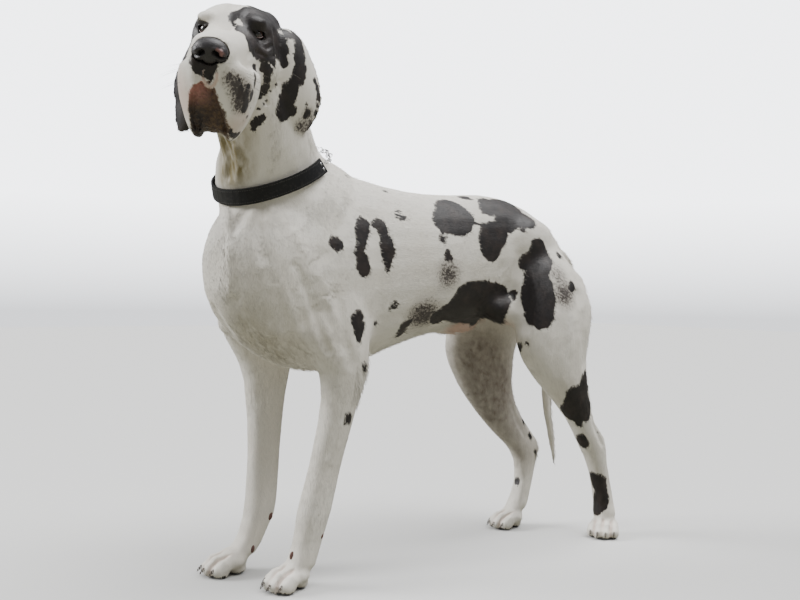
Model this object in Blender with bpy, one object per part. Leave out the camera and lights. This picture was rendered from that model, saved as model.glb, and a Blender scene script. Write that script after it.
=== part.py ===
"""A harlequin great dane standing with its head up and turned to its left, life size, in metres.

The dog faces -Y, its left side is +X and the ground is z = 0. The flesh is blocked out from tubes and
ellipsoids, fused and relaxed into one closed form, then parted into head, neck, torso, tail, legs and
paws by thin cuts. Ears, eyes, nose, claws and the collar are pieces of their own, seated in the flesh.
"""

from math import cos, pi, radians, sin

import bmesh
import bpy
import numpy as np
from mathutils import Matrix, Vector
from mathutils.bvhtree import BVHTree

# Driving sizes of this dog
GAP = 0.0003  # kept between pieces that touch
VOXEL = 0.0045  # grid of the fused flesh
FLESH_TRIANGLES = 6700

# Head: its place, how it is turned, and its size against a head 0.365 long
HEAD_CENTRE = Vector((0.156, -0.135, 1.125))
HEAD_YAW = radians(58)  # towards the dog's left
HEAD_PITCH = radians(-16.5)
HEAD_ROLL = radians(5)  # its left side lower
HEAD_SCALE = 1.122


def clear_scene():
    for thing in list(bpy.data.objects):
        bpy.data.objects.remove(thing)


def mesh_object(name, points, faces):
    mesh = bpy.data.meshes.new(name)
    mesh.from_pydata([tuple(p) for p in points], [], faces)
    made = bpy.data.objects.new(name, mesh)
    bpy.context.scene.collection.objects.link(made)
    return made


def spaced(rows, count):
    """Catmull-Rom: the rows of numbers, filled in to count rows evenly spread over their index."""
    rows = np.array(rows, float)
    padded = np.vstack([2 * rows[0] - rows[1], rows, 2 * rows[-1] - rows[-2]])
    out = []
    for place in np.linspace(0, len(rows) - 1, count):
        k = min(int(place), len(rows) - 2)
        t = place - k
        a, b, c, d = padded[k : k + 4]
        bow, twist = 2 * a - 5 * b + 4 * c - d, 3 * b - a - 3 * c + d
        out.append(0.5 * (2 * b + (c - a) * t + bow * t**2 + twist * t**3))
    return np.array(out)


def ring(centre, across, upward, half_width, up, down, square=2.0, points=28):
    """A closed outline round centre: half_width to each side, up and down along upward."""
    out = []
    for k in range(points):
        t = 2 * pi * k / points
        c = abs(cos(t)) ** (2 / square) * (1 if cos(t) > 0 else -1)
        s = abs(sin(t)) ** (2 / square) * (1 if sin(t) > 0 else -1)
        out.append(Vector(centre) + across * (half_width * c) + upward * ((up if s > 0 else down) * s))
    return out


def skin_rings(name, rings):
    """A closed tube through rings of equal count, its ends filled."""
    n = len(rings[0])
    points = [p for r in rings for p in r]
    faces = []
    for i in range(len(rings) - 1):
        for k in range(n):
            a, b = i * n + k, i * n + (k + 1) % n
            faces.append((a, b, b + n, a + n))
    faces.append(tuple(reversed(range(n))))
    faces.append(tuple(range((len(rings) - 1) * n, len(rings) * n)))
    made = mesh_object(name, points, faces)
    outward(made)
    return made


def outward(made):
    work = bmesh.new()
    work.from_mesh(made.data)
    bmesh.ops.recalc_face_normals(work, faces=work.faces)
    work.to_mesh(made.data)
    work.free()


def ellipsoid(name, centre, radii, turn=None):
    """turn is a 3x3 matrix that sets the ellipsoid's own axes."""
    work = bmesh.new()
    bmesh.ops.create_uvsphere(work, u_segments=24, v_segments=16, radius=1)
    made = bpy.data.objects.new(name, bpy.data.meshes.new(name))
    work.to_mesh(made.data)
    work.free()
    bpy.context.scene.collection.objects.link(made)
    spin = Matrix.Identity(4) if turn is None else turn.to_4x4()
    made.data.transform(Matrix.Translation(Vector(centre)) @ spin @ Matrix.Diagonal((*radii, 1)))
    return made


# Trunk: along the back, at y = how far behind the forefeet, the heights of top, widest level and belly,
# the half width and how square the section is
TRUNK = (
    (-0.148, 0.745, 0.695, 0.630, 0.040, 2.0),
    (-0.120, 0.800, 0.700, 0.575, 0.085, 2.0),
    (-0.075, 0.850, 0.695, 0.530, 0.115, 2.0),
    (-0.010, 0.880, 0.685, 0.490, 0.131, 2.0),
    (0.080, 0.900, 0.680, 0.463, 0.138, 2.1),
    (0.180, 0.908, 0.685, 0.466, 0.141, 2.1),
    (0.280, 0.893, 0.695, 0.500, 0.142, 2.1),
    (0.380, 0.884, 0.705, 0.530, 0.137, 2.1),
    (0.480, 0.886, 0.720, 0.550, 0.122, 2.1),
    (0.580, 0.893, 0.740, 0.576, 0.105, 2.1),
    (0.670, 0.882, 0.750, 0.598, 0.098, 2.1),
    (0.750, 0.848, 0.735, 0.605, 0.096, 2.1),
    (0.815, 0.800, 0.705, 0.610, 0.078, 2.0),
    (0.852, 0.752, 0.690, 0.640, 0.040, 2.0),
)
BEND_START = 0.42  # the back bends to the left in front of this


def bend(y):
    """How far the middle of the trunk lies to the left, and its slope."""
    ahead = max(BEND_START - y, 0.0)
    return 0.26 * ahead**2, 0.52 * ahead


def trunk():
    rings = []
    for y, top, wide, belly, half, square in spaced(TRUNK, 44):
        x, slope = bend(y)
        across, up = Vector((1, slope, 0)).normalized(), Vector((0, 0, 1))
        rings.append(ring((x, y, wide), across, up, half, top - wide, wide - belly, square))
    return skin_rings("trunk", rings)


# Neck: middle of the section, half width, half depth, and the way it faces, in degrees to the left
NECK = (
    (0.022, 0.150, 0.730, 0.125, 0.180, 8),
    (0.020, 0.070, 0.800, 0.132, 0.170, 14),
    (0.022, 0.022, 0.850, 0.126, 0.146, 22),
    (0.038, -0.006, 0.890, 0.116, 0.130, 30),
    (0.055, -0.020, 0.920, 0.106, 0.122, 36),
    (0.077, -0.032, 0.950, 0.097, 0.111, 42),
    (0.095, -0.055, 0.990, 0.094, 0.104, 47),
    (0.112, -0.075, 1.035, 0.090, 0.098, 52),
    (0.124, -0.090, 1.085, 0.082, 0.088, 56),
    (0.130, -0.100, 1.120, 0.062, 0.066, 58),
)


def neck():
    rows = spaced(NECK, 26)
    rings = []
    for k, (x, y, z, half, deep, yaw) in enumerate(rows):
        ahead = Vector((sin(radians(yaw)), -cos(radians(yaw)), 0))
        after, before = rows[min(k + 1, len(rows) - 1)], rows[max(k - 1, 0)]
        along = Vector(after[:3] - before[:3]).normalized()
        across = along.cross(ahead).normalized()
        front = across.cross(along).normalized()
        rings.append(ring((x, y, z), across, front, half, deep, deep, 2.0))
    return skin_rings("neck", rings)


# Legs: level by level, the middle of the section, half width across and half depth fore and aft
FORELEG_LEFT = (
    (0.100, 0.150, 0.740, 0.040, 0.085),
    (0.115, 0.100, 0.640, 0.048, 0.105),
    (0.120, 0.100, 0.560, 0.050, 0.098),
    (0.119, 0.125, 0.500, 0.047, 0.070),
    (0.115, 0.137, 0.455, 0.044, 0.055),
    (0.110, 0.130, 0.393, 0.039, 0.042),
    (0.104, 0.115, 0.317, 0.035, 0.038),
    (0.097, 0.099, 0.241, 0.033, 0.037),
    (0.091, 0.082, 0.164, 0.036, 0.038),
    (0.088, 0.073, 0.120, 0.034, 0.034),
    (0.085, 0.063, 0.075, 0.033, 0.033),
    (0.083, 0.050, 0.040, 0.034, 0.034),
)
FORELEG_RIGHT = (
    (-0.055, 0.110, 0.740, 0.040, 0.085),
    (-0.090, 0.050, 0.640, 0.048, 0.105),
    (-0.108, 0.040, 0.560, 0.050, 0.098),
    (-0.114, 0.050, 0.500, 0.047, 0.075),
    (-0.114, 0.056, 0.450, 0.044, 0.058),
    (-0.109, 0.053, 0.373, 0.039, 0.046),
    (-0.103, 0.049, 0.293, 0.035, 0.040),
    (-0.097, 0.043, 0.213, 0.034, 0.038),
    (-0.090, 0.034, 0.140, 0.036, 0.037),
    (-0.087, 0.018, 0.095, 0.034, 0.033),
    (-0.086, 0.000, 0.060, 0.034, 0.033),
    (-0.085, -0.020, 0.038, 0.034, 0.034),
)
HINDLEG_LEFT = (
    (0.060, 0.735, 0.755, 0.045, 0.065),
    (0.083, 0.748, 0.690, 0.058, 0.096),
    (0.104, 0.752, 0.610, 0.060, 0.120),
    (0.116, 0.742, 0.540, 0.056, 0.115),
    (0.119, 0.745, 0.480, 0.050, 0.100),
    (0.118, 0.772, 0.422, 0.044, 0.079),
    (0.114, 0.810, 0.368, 0.037, 0.056),
    (0.110, 0.846, 0.314, 0.030, 0.041),
    (0.106, 0.886, 0.262, 0.030, 0.045),
    (0.102, 0.912, 0.205, 0.027, 0.032),
    (0.099, 0.932, 0.146, 0.0255, 0.027),
    (0.100, 0.945, 0.085, 0.028, 0.028),
    (0.104, 0.945, 0.045, 0.031, 0.032),
)
HINDLEG_RIGHT = (
    (-0.060, 0.735, 0.755, 0.045, 0.065),
    (-0.085, 0.735, 0.690, 0.058, 0.100),
    (-0.105, 0.730, 0.610, 0.060, 0.125),
    (-0.117, 0.705, 0.540, 0.056, 0.122),
    (-0.121, 0.695, 0.480, 0.051, 0.112),
    (-0.119, 0.702, 0.425, 0.046, 0.097),
    (-0.116, 0.716, 0.375, 0.041, 0.082),
    (-0.111, 0.748, 0.318, 0.035, 0.070),
    (-0.107, 0.793, 0.263, 0.032, 0.064),
    (-0.103, 0.833, 0.218, 0.031, 0.053),
    (-0.099, 0.838, 0.175, 0.027, 0.035),
    (-0.095, 0.830, 0.125, 0.0255, 0.028),
    (-0.092, 0.812, 0.075, 0.028, 0.028),
    (-0.091, 0.795, 0.045, 0.031, 0.032),
)


def leg(name, rows):
    rings = []
    for x, y, z, half, deep in spaced(rows, 3 * len(rows)):
        rings.append(ring((x, y, z), Vector((1, 0, 0)), Vector((0, -1, 0)), half, deep, deep, 2.15))
    return skin_rings(name, rings)


# Paws: middle of the sole, the way the toes point in degrees to the left, and the size
PAWS = {
    "forepaw_left": (0.083, 0.020, 8, 1.0),
    "forepaw_right": (-0.086, -0.055, -6, 1.0),
    "hindpaw_left": (0.116, 0.930, 38, 0.92),
    "hindpaw_right": (-0.091, 0.763, -4, 0.92),
}
TOE_RADIUS = 0.0140
# Toes: across the paw, knuckle forward, knuckle height, tip forward
TOES = ((-0.0330, 0.000, 0.0310, 0.030), (-0.0115, 0.014, 0.0360, 0.046))
TOES += tuple((-side, *more) for side, *more in reversed(TOES))


def paw_frame(name):
    """Turns paw places (left, forward, up) into world places."""
    x, y, yaw, size = PAWS[name]
    turn = Matrix.Rotation(radians(yaw), 4, "Z")
    return Matrix.Translation((x, y, 0)) @ turn @ Matrix.Diagonal((size, -size, size, 1))


def paw(name):
    place = paw_frame(name)
    size = PAWS[name][3]
    turn = Matrix.Rotation(radians(PAWS[name][2]), 3, "Z")
    made = []

    def lump(where, radii):
        made.append(ellipsoid("lump", place @ Vector(where), [r * size for r in radii], turn))

    r = TOE_RADIUS
    for side, knuckle, high, tip in TOES:
        lump((side * 0.80, knuckle - 0.018, high), (r * 1.05, r * 2.0, r * 1.15))
        lump((side * 0.95, knuckle + 0.004, high - 0.005), (r * 1.02, r * 1.25, r * 1.25))
        lump((side, tip - 0.013, 0.0165), (r * 1.02, r * 1.25, r * 1.25))
        lump((side * 0.92, tip - 0.020, 0.0085), (r * 0.95, r * 1.1, r * 0.75))
    lump((0, -0.030, 0.014), (0.031, 0.024, 0.018))
    lump((0, -0.022, 0.036), (0.036, 0.036, 0.025))
    return made


def head_frame():
    """Turns head places (forward, left, up), for a head 0.365 long, into world places."""
    ahead = Vector((sin(HEAD_YAW) * cos(HEAD_PITCH), -cos(HEAD_YAW) * cos(HEAD_PITCH), sin(HEAD_PITCH)))
    left = Vector((cos(HEAD_YAW), sin(HEAD_YAW), 0))
    up = ahead.cross(left)
    tilt = Matrix.Rotation(-HEAD_ROLL, 3, ahead)
    left, up = tilt @ left, tilt @ up
    turn = Matrix((ahead, left, up)).transposed()
    return Matrix.Translation(HEAD_CENTRE) @ (turn * HEAD_SCALE).to_4x4()


# Skull and muzzle: forward, heights of top, widest level and underside, half width, how square
SKULL = (
    (-0.142, 0.030, 0.010, -0.030, 0.030, 2.0),
    (-0.120, 0.052, 0.010, -0.060, 0.055, 2.0),
    (-0.070, 0.067, 0.006, -0.080, 0.074, 2.1),
    (-0.015, 0.071, 0.004, -0.086, 0.079, 2.2),
    (0.030, 0.068, 0.000, -0.082, 0.075, 2.3),
    (0.060, 0.056, -0.004, -0.078, 0.066, 2.3),
    (0.085, 0.036, -0.008, -0.078, 0.052, 2.4),
    (0.110, 0.027, -0.012, -0.076, 0.045, 2.6),
    (0.155, 0.025, -0.014, -0.074, 0.042, 2.7),
    (0.200, 0.024, -0.018, -0.070, 0.041, 2.6),
    (0.224, 0.019, -0.020, -0.062, 0.036, 2.5),
    (0.236, 0.006, -0.022, -0.050, 0.028, 2.4),
)
# Each flew hangs from the muzzle's side: forward, across, height, half thickness, half height
FLEW = (
    (0.040, 0.032, -0.066, 0.014, 0.026),
    (0.078, 0.040, -0.076, 0.016, 0.039),
    (0.118, 0.042, -0.085, 0.017, 0.053),
    (0.158, 0.041, -0.090, 0.017, 0.061),
    (0.190, 0.037, -0.085, 0.017, 0.061),
    (0.216, 0.027, -0.069, 0.015, 0.051),
    (0.234, 0.014, -0.050, 0.013, 0.032),
)
FLEW_LEAN = 0.26  # how far the foot of a flew lies inwards of its top
JAW = (
    (0.000, -0.058, 0.050, 0.034),
    (0.060, -0.084, 0.036, 0.026),
    (0.120, -0.104, 0.027, 0.024),
    (0.175, -0.113, 0.024, 0.024),
    (0.203, -0.111, 0.021, 0.022),
    (0.217, -0.104, 0.013, 0.015),
)


def head_tube(name, rings):
    made = skin_rings(name, rings)
    made.data.transform(head_frame())
    return made


def head():
    ahead, left, up = Vector((1, 0, 0)), Vector((0, 1, 0)), Vector((0, 0, 1))
    made = []
    rings = []
    for f, top, mid, low, half, square in spaced(SKULL, 40):
        rings.append(ring((f, 0, mid), left, up, half, top - mid, mid - low, square))
    made.append(head_tube("skull", rings))
    for side in (1, -1):
        tall = Vector((0, side * FLEW_LEAN, 1)).normalized()
        thick = tall.cross(ahead)
        rings = [ring((f, side * l, u), thick, tall, a, b, b) for f, l, u, a, b in spaced(FLEW, 22)]
        made.append(head_tube("flew", rings))
    rings = [ring((f, 0, u), left, up, a, b, b, 2.2) for f, u, a, b in spaced(JAW, 14)]
    made.append(head_tube("jaw", rings))
    turn = head_frame().to_3x3().normalized()

    def lump(f, l, u, radii):
        for side in (1, -1):
            centre = head_frame() @ Vector((f, side * l, u))
            made.append(ellipsoid("lump", centre, [r * HEAD_SCALE for r in radii], turn))

    lump(0.010, 0.054, -0.035, (0.060, 0.030, 0.045))  # cheek
    lump(-0.045, 0.036, 0.030, (0.060, 0.036, 0.034))  # temple
    lump(0.054, 0.036, 0.041, (0.020, 0.025, 0.014))  # brow
    lump(0.030, 0.056, -0.012, (0.045, 0.018, 0.020))  # cheekbone
    lump(-0.050, 0.040, -0.055, (0.065, 0.042, 0.055))  # throat corner
    lump(0.010, 0.012, -0.090, (0.075, 0.036, 0.030))  # loose skin of the throat
    return made


TAIL = (
    (0.000, 0.800, 0.775, 0.036),
    (-0.003, 0.860, 0.748, 0.032),
    (-0.010, 0.900, 0.692, 0.027),
    (-0.020, 0.906, 0.620, 0.023),
    (-0.034, 0.890, 0.530, 0.020),
    (-0.046, 0.869, 0.430, 0.0165),
    (-0.050, 0.874, 0.330, 0.013),
    (-0.050, 0.892, 0.240, 0.010),
    (-0.050, 0.902, 0.165, 0.0055),
)


def tail():
    rings = []
    for x, y, z, r in spaced(TAIL, 30):
        rings.append(ring((x, y, z), Vector((1, 0, 0)), Vector((0, -1, 0)), r, r, r, 2.0, 16))
    return skin_rings("tail", rings)


# Muscle masses that lie on the trunk and limbs: middle, radii, and turn about the X axis in degrees
MUSCLES = (
    ((0.096, 0.130, 0.745), (0.040, 0.075, 0.135), 18),  # left shoulder blade
    ((-0.056, 0.095, 0.745), (0.040, 0.075, 0.135), 18),
    ((0.118, -0.010, 0.600), (0.038, 0.060, 0.070), -20),  # left point of shoulder
    ((-0.058, -0.040, 0.605), (0.040, 0.042, 0.072), -20),
    ((0.128, 0.130, 0.560), (0.034, 0.070, 0.085), 0),  # left triceps
    ((-0.118, 0.060, 0.560), (0.034, 0.070, 0.085), 0),
    ((0.066, 0.690, 0.770), (0.044, 0.095, 0.070), 0),  # left haunch
    ((-0.066, 0.680, 0.770), (0.044, 0.095, 0.070), 0),
    ((0.086, 0.832, 0.620), (0.040, 0.038, 0.085), -8),  # left buttock
    ((-0.082, 0.812, 0.630), (0.040, 0.042, 0.090), -8),
    ((0.060, 0.625, 0.600), (0.042, 0.085, 0.036), -10),  # left flank fold
    ((-0.060, 0.595, 0.600), (0.042, 0.085, 0.036), -10),
    ((0.045, -0.085, 0.650), (0.065, 0.045, 0.090), 0),  # forechest
    ((0.000, 0.520, 0.560), (0.020, 0.075, 0.016), 6),  # sheath
)


def muscles():
    made = []
    for centre, radii, turn in MUSCLES:
        made.append(ellipsoid("muscle", centre, radii, Matrix.Rotation(radians(turn), 3, "X")))
    return made


def fuse(name, pieces, voxel):
    """Joins closed forms into one closed surface on an even grid."""
    work = bmesh.new()
    for piece in pieces:
        work.from_mesh(piece.data)
        bpy.data.objects.remove(piece)
    made = bpy.data.objects.new(name, bpy.data.meshes.new(name))
    work.to_mesh(made.data)
    work.free()
    bpy.context.scene.collection.objects.link(made)
    remesh = made.modifiers.new("fuse", "REMESH")
    remesh.mode = "VOXEL"
    remesh.voxel_size = voxel
    apply_modifiers(made)
    return made


def apply_modifiers(made):
    graph = bpy.context.evaluated_depsgraph_get()
    bpy.context.view_layer.update()
    mesh = bpy.data.meshes.new_from_object(made.evaluated_get(graph))
    made.modifiers.clear()
    made.data = mesh


def places(made):
    out = np.empty(len(made.data.vertices) * 3)
    made.data.vertices.foreach_get("co", out)
    return out.reshape(-1, 3)


def put(made, where):
    made.data.vertices.foreach_set("co", where.astype(np.float32).ravel())
    made.data.update()


def relax(made, rounds, hold=None):
    """Evens out creases without shrinking, moving in, then out. hold is 0 to 1 a vertex, 1 stays."""
    ends = np.empty(len(made.data.edges) * 2, np.int64)
    made.data.edges.foreach_get("vertices", ends)
    a, b = ends.reshape(-1, 2).T
    where = places(made)
    count = np.bincount(np.r_[a, b], minlength=len(where))[:, None]
    free = 1 if hold is None else (1 - hold)[:, None]
    for k in range(2 * rounds):
        total = np.zeros_like(where)
        for axis in range(3):
            total[:, axis] = np.bincount(np.r_[a, b], np.r_[where[b, axis], where[a, axis]], len(where))
        where += (0.66, -0.667)[k % 2] * free * (total / count - where)
    put(made, where)


def subdivided(made, chosen):
    """Halves the edges of the faces whose middles are chosen."""
    work = bmesh.new()
    work.from_mesh(made.data)
    faces = [f for f in work.faces if chosen(f.calc_center_median())]
    edges = list({e for f in faces for e in f.edges})
    bmesh.ops.subdivide_edges(work, edges=edges, cuts=1, use_grid_fill=True)
    bmesh.ops.triangulate(work, faces=[f for f in work.faces if len(f.verts) > 4])
    work.to_mesh(made.data)
    work.free()


def normals(made):
    out = np.empty(len(made.data.vertices) * 3)
    made.data.vertex_normals.foreach_get("vector", out)
    return out.reshape(-1, 3)


def off_line(where, line):
    """How far each place is from a line of points."""
    best = np.full(len(where), 9.0)
    for a, b in zip(line, line[1:]):
        a, b = np.array(a), np.array(b)
        t = np.clip(((where - a) @ (b - a)) / ((b - a) @ (b - a)), 0, 1)[:, None]
        best = np.minimum(best, np.linalg.norm(where - a - t * (b - a), axis=1))
    return best


def strokes(made, marks, frame=None, sides=(1, -1), scale=1.0):
    """Each mark (depth, reach, points) presses a groove along its points."""
    where, out = places(made), normals(made)
    for depth, reach, *points in marks:
        for side in sides:
            line = [Vector((x, side * y if frame else y, z)) for x, y, z in points]
            line = [frame @ p if frame else p for p in line]
            reached = np.clip(1 - (off_line(where, line) / (reach * scale)) ** 2, 0, 1) ** 2
            where -= out * (depth * scale * reached)[:, None]
    put(made, where)


# Marks on the head: depth, reach, and points (forward, left, up), each made on both sides
FACE_MARKS = (
    (0.0022, 0.016, (0.100, 0, 0.032), (0.060, 0, 0.062), (-0.030, 0, 0.074)),  # furrow up the forehead
    (0.0022, 0.007, (0.068, 0.012, 0.058), (0.034, 0.014, 0.072)),  # frown
    (0.0022, 0.014, (0.026, 0.072, 0.030), (0.030, 0.076, 0.008)),  # behind the eye
    (0.0022, 0.014, (0.085, 0.056, -0.006), (0.130, 0.050, -0.010)),  # below the eye
    (0.0032, 0.006, (0.240, 0, -0.040), (0.240, 0, -0.056), (0.236, 0, -0.070)),  # philtrum
    # front of the mouth, and its sides
    (0.0085, 0.008, (0.236, 0.005, -0.080), (0.224, 0.017, -0.104), (0.204, 0.024, -0.128)),
    (0.0080, 0.008, (0.204, 0.024, -0.128), (0.178, 0.027, -0.138), (0.150, 0.029, -0.138)),
    (0.0055, 0.008, (0.150, 0.029, -0.138), (0.110, 0.034, -0.126), (0.075, 0.046, -0.106)),
    # fold behind the mouth, and the throat's
    (0.0030, 0.010, (0.062, 0.062, -0.060), (0.040, 0.062, -0.090), (0.005, 0.056, -0.118)),
    (0.0030, 0.012, (-0.020, 0.076, -0.060), (-0.050, 0.066, -0.110), (-0.090, 0.060, -0.160)),
)
# Marks on the body, in world places, the left side's before the right side's
BODY_MARKS = (
    # behind each shoulder
    (0.0035, 0.040, (0.155, 0.190, 0.800), (0.165, 0.205, 0.700), (0.160, 0.200, 0.590)),
    (0.0035, 0.040, (-0.115, 0.170, 0.800), (-0.130, 0.160, 0.700), (-0.130, 0.130, 0.590)),
    # before each shoulder
    (0.0050, 0.026, (0.120, 0.060, 0.880), (0.140, 0.010, 0.780), (0.150, -0.030, 0.690)),
    (0.0050, 0.026, (-0.085, 0.020, 0.880), (-0.100, -0.030, 0.780), (-0.085, -0.085, 0.680)),
    # jugular furrows
    (0.0060, 0.022, (0.125, -0.100, 0.820), (0.105, -0.125, 0.740), (0.085, -0.130, 0.660)),
    (0.0060, 0.022, (0.010, -0.120, 0.820), (0.015, -0.140, 0.740), (0.025, -0.145, 0.660)),
    # between the breasts
    (0.0080, 0.026, (0.052, -0.135, 0.600), (0.045, -0.100, 0.520), (0.035, -0.030, 0.470)),
    # before each upper arm's triceps
    (0.0050, 0.022, (0.165, 0.060, 0.600), (0.160, 0.110, 0.520)),
    (0.0050, 0.022, (-0.150, -0.010, 0.600), (-0.155, 0.040, 0.520)),
    # before each thigh
    (0.0060, 0.028, (0.120, 0.640, 0.740), (0.130, 0.640, 0.640), (0.130, 0.640, 0.560)),
    (0.0060, 0.028, (-0.120, 0.620, 0.740), (-0.130, 0.610, 0.640), (-0.130, 0.600, 0.560)),
    # hamstrings
    (0.0050, 0.022, (0.140, 0.800, 0.640), (0.150, 0.800, 0.540), (0.140, 0.810, 0.440)),
    (0.0050, 0.022, (-0.140, 0.780, 0.640), (-0.150, 0.770, 0.540), (-0.140, 0.760, 0.440)),
)


def sculpt_eyes(made):
    """Draws the skin in to each eyeball: a lid of even thickness round a sunk, almond opening."""
    frame = head_frame()
    back = frame.inverted()
    where = places(made)
    near = near_head(where) < 0.20
    local = np.array([back @ Vector(p) for p in where[near]])
    for side in (1, -1):
        centre = np.array(EYE_PLACE) * (1, side, 1)
        v = local - centre
        d = np.linalg.norm(v, axis=1)
        aim = np.array((cos(EYE_TURN), side * sin(EYE_TURN), 0.0))
        out = np.array((-sin(EYE_TURN), side * cos(EYE_TURN), 0.0))
        ahead = v @ aim
        a = np.degrees(np.arctan2(v @ out, ahead))
        b = np.degrees(np.arctan2(v[:, 2], np.hypot(ahead, v @ out)))
        m = np.hypot(a / 44, np.where(b > 0, b / 21, b / 25))
        lid = np.clip((2.5 - m) / 1.1, 0, 1) * np.clip((0.036 - d) / 0.014, 0, 1) * (ahead > 0)
        lid = lid * lid * (3 - 2 * lid)
        sunk, raised = 0.0075 * np.clip((1.12 - m) / 0.24, 0, 1), 0.007 * np.clip(m - 1.35, 0, 2)
        aimed = EYE_RADIUS + 0.0026 - sunk + raised
        local += v / np.maximum(d, 1e-6)[:, None] * ((aimed - d) * lid)[:, None]
    where[near] = np.array([frame @ Vector(p) for p in local])
    put(made, where)


def surface(made):
    """The thing's faces, for rays to meet."""
    points = [v.co for v in made.data.vertices]
    return BVHTree.FromPolygons(points, [p.vertices for p in made.data.polygons])


def near_head(where):
    return np.linalg.norm(where - np.array(head_middle()), axis=1)


def head_middle():
    return HEAD_CENTRE + head_frame().to_3x3() @ Vector((0.06, 0, -0.02))


EYE_PLACE = (0.052, 0.042, 0.021)
EYE_RADIUS = 0.0118
EYE_TURN = radians(27)  # how far each eye looks outwards


# Ears: middle line (forward, left, up), half width, the way the leaf is spread (forward, left) and
# half its thickness
EAR = (
    (-0.034, 0.056, 0.022, 0.028, -1.00, 0.00, 0.0065),
    (-0.032, 0.082, 0.030, 0.033, -1.00, 0.10, 0.0055),
    (-0.024, 0.102, 0.014, 0.040, -0.93, 0.36, 0.0042),
    (-0.012, 0.112, -0.018, 0.047, -0.78, 0.62, 0.0036),
    (-0.002, 0.114, -0.054, 0.053, -0.62, 0.78, 0.0034),
    (0.002, 0.114, -0.094, 0.052, -0.52, 0.85, 0.0032),
    (0.000, 0.110, -0.133, 0.036, -0.48, 0.88, 0.0030),
    (-0.004, 0.106, -0.163, 0.011, -0.48, 0.88, 0.0024),
)
EAR_CUP = 0.30  # how deeply the leaf is hollowed, of its half width


def ear(name, side, nearer):
    frame = head_frame()
    rows = spaced(EAR, 22)
    outer = []
    for k, (f, l, u, half, wf, wl, thick) in enumerate(rows):
        l -= nearer * min(1, 0.5 + k / 14, 3 - k / 8)
        after, before = rows[min(k + 1, len(rows) - 1)], rows[max(k - 1, 0)]
        along = Vector(after[:3] - before[:3]).normalized()
        spread = Vector((wf, wl, 0)).normalized()
        spread = (spread - along * spread.dot(along)).normalized()
        out = along.cross(spread).normalized()
        front, back = [], []
        for t in np.linspace(-1, 1, 8):
            cup = half * EAR_CUP * (t * t - 0.4) * min(1, k / 6)
            at = Vector((f, l, u)) + spread * (half * t) - out * cup
            edge = thick * max(1 - t * t, 0.0) ** 0.5 * 0.85 + 0.0008
            front.append(at + out * edge)
            back.append(at - out * edge)
        outer.append([frame @ Vector((p.x, side * p.y, p.z)) for p in front + back[::-1]])
    made = skin_rings(name, outer)
    return made


# A claw: how far ahead of its root and above it, and its radius there
CLAW = ((0, 0, 0.0042), (0.006, -0.0008, 0.0040), (0.012, -0.0045, 0.0030), (0.0165, -0.0105, 0.0014))


def claws():
    """Four to a paw: short hooked cones that grow out of the toes."""
    made = []
    for name in PAWS:
        place = paw_frame(name)
        for k, (side, knuckle, high, tip) in enumerate(TOES):
            root = Vector((side * 1.0, tip - 0.006, 0.0205))
            across = place.to_3x3() @ Vector((1, 0, 0))
            upward = place.to_3x3() @ Vector((0, 0.35, 1)).normalized()
            rings = []
            for ahead, up, r in spaced(CLAW, 5):
                centre = place @ (root + Vector((0, ahead, up)))
                rings.append(ring(centre, across, upward, 0.8 * r, 1.1 * r, 1.1 * r, points=6))
            made.append(skin_rings(f"claw_{name}_{k + 1}", rings))
    return made


def cut(target, cutter, solver="EXACT"):
    """Takes the cutter away from the target; the cutter then goes."""
    minus = target.modifiers.new("cut", "BOOLEAN")
    minus.operation = "DIFFERENCE"
    minus.solver = solver
    minus.object = cutter
    apply_modifiers(target)
    bpy.data.objects.remove(cutter)


def swollen(name, made, by=GAP):
    """A copy pushed out along its normals."""
    copy = bpy.data.objects.new(name, made.data.copy())
    bpy.context.scene.collection.objects.link(copy)
    put(copy, places(copy) + by * normals(copy))
    return copy


NOSE = (
    ((0.232, 0.000, -0.002), (0.0165, 0.0255, 0.0165)),
    ((0.232, 0.014, -0.0065), (0.0145, 0.0135, 0.0140)),
    ((0.232, -0.014, -0.0065), (0.0145, 0.0135, 0.0140)),
    ((0.233, 0.000, -0.011), (0.0115, 0.014, 0.0130)),
)
NOSE_MARKS = (
    # nostril, its slit, and the groove between the nostrils
    (0.0080, 0.0075, (0.250, 0.013, -0.007), (0.250, 0.014, -0.008)),
    (0.0050, 0.0042, (0.248, 0.0165, -0.011), (0.242, 0.025, -0.0135), (0.234, 0.031, -0.013)),
    (0.0025, 0.0035, (0.252, 0.0, 0.006), (0.250, 0.0, -0.010), (0.246, 0.0, -0.031)),
)


def nose(body):
    """The nose leather, let into the muzzle."""
    frame = head_frame()
    turn = frame.to_3x3().normalized()
    lumps = []
    for centre, radii in NOSE:
        lumps.append(ellipsoid("lump", frame @ Vector(centre), [r * HEAD_SCALE for r in radii], turn))
    made = fuse("nose", lumps, 0.0014)
    relax(made, 12)
    thinned(made, np.ones(len(made.data.vertices)), 3200)
    pocket = swollen("pocket", made)
    thinned(pocket, np.ones(len(pocket.data.vertices)), 300)
    put(pocket, places(pocket) + 0.0009 * normals(pocket))
    cut(body, pocket)
    strokes(made, NOSE_MARKS, frame=frame, scale=HEAD_SCALE)
    thinned(made, np.ones(len(made.data.vertices)), 700)
    return made


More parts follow.
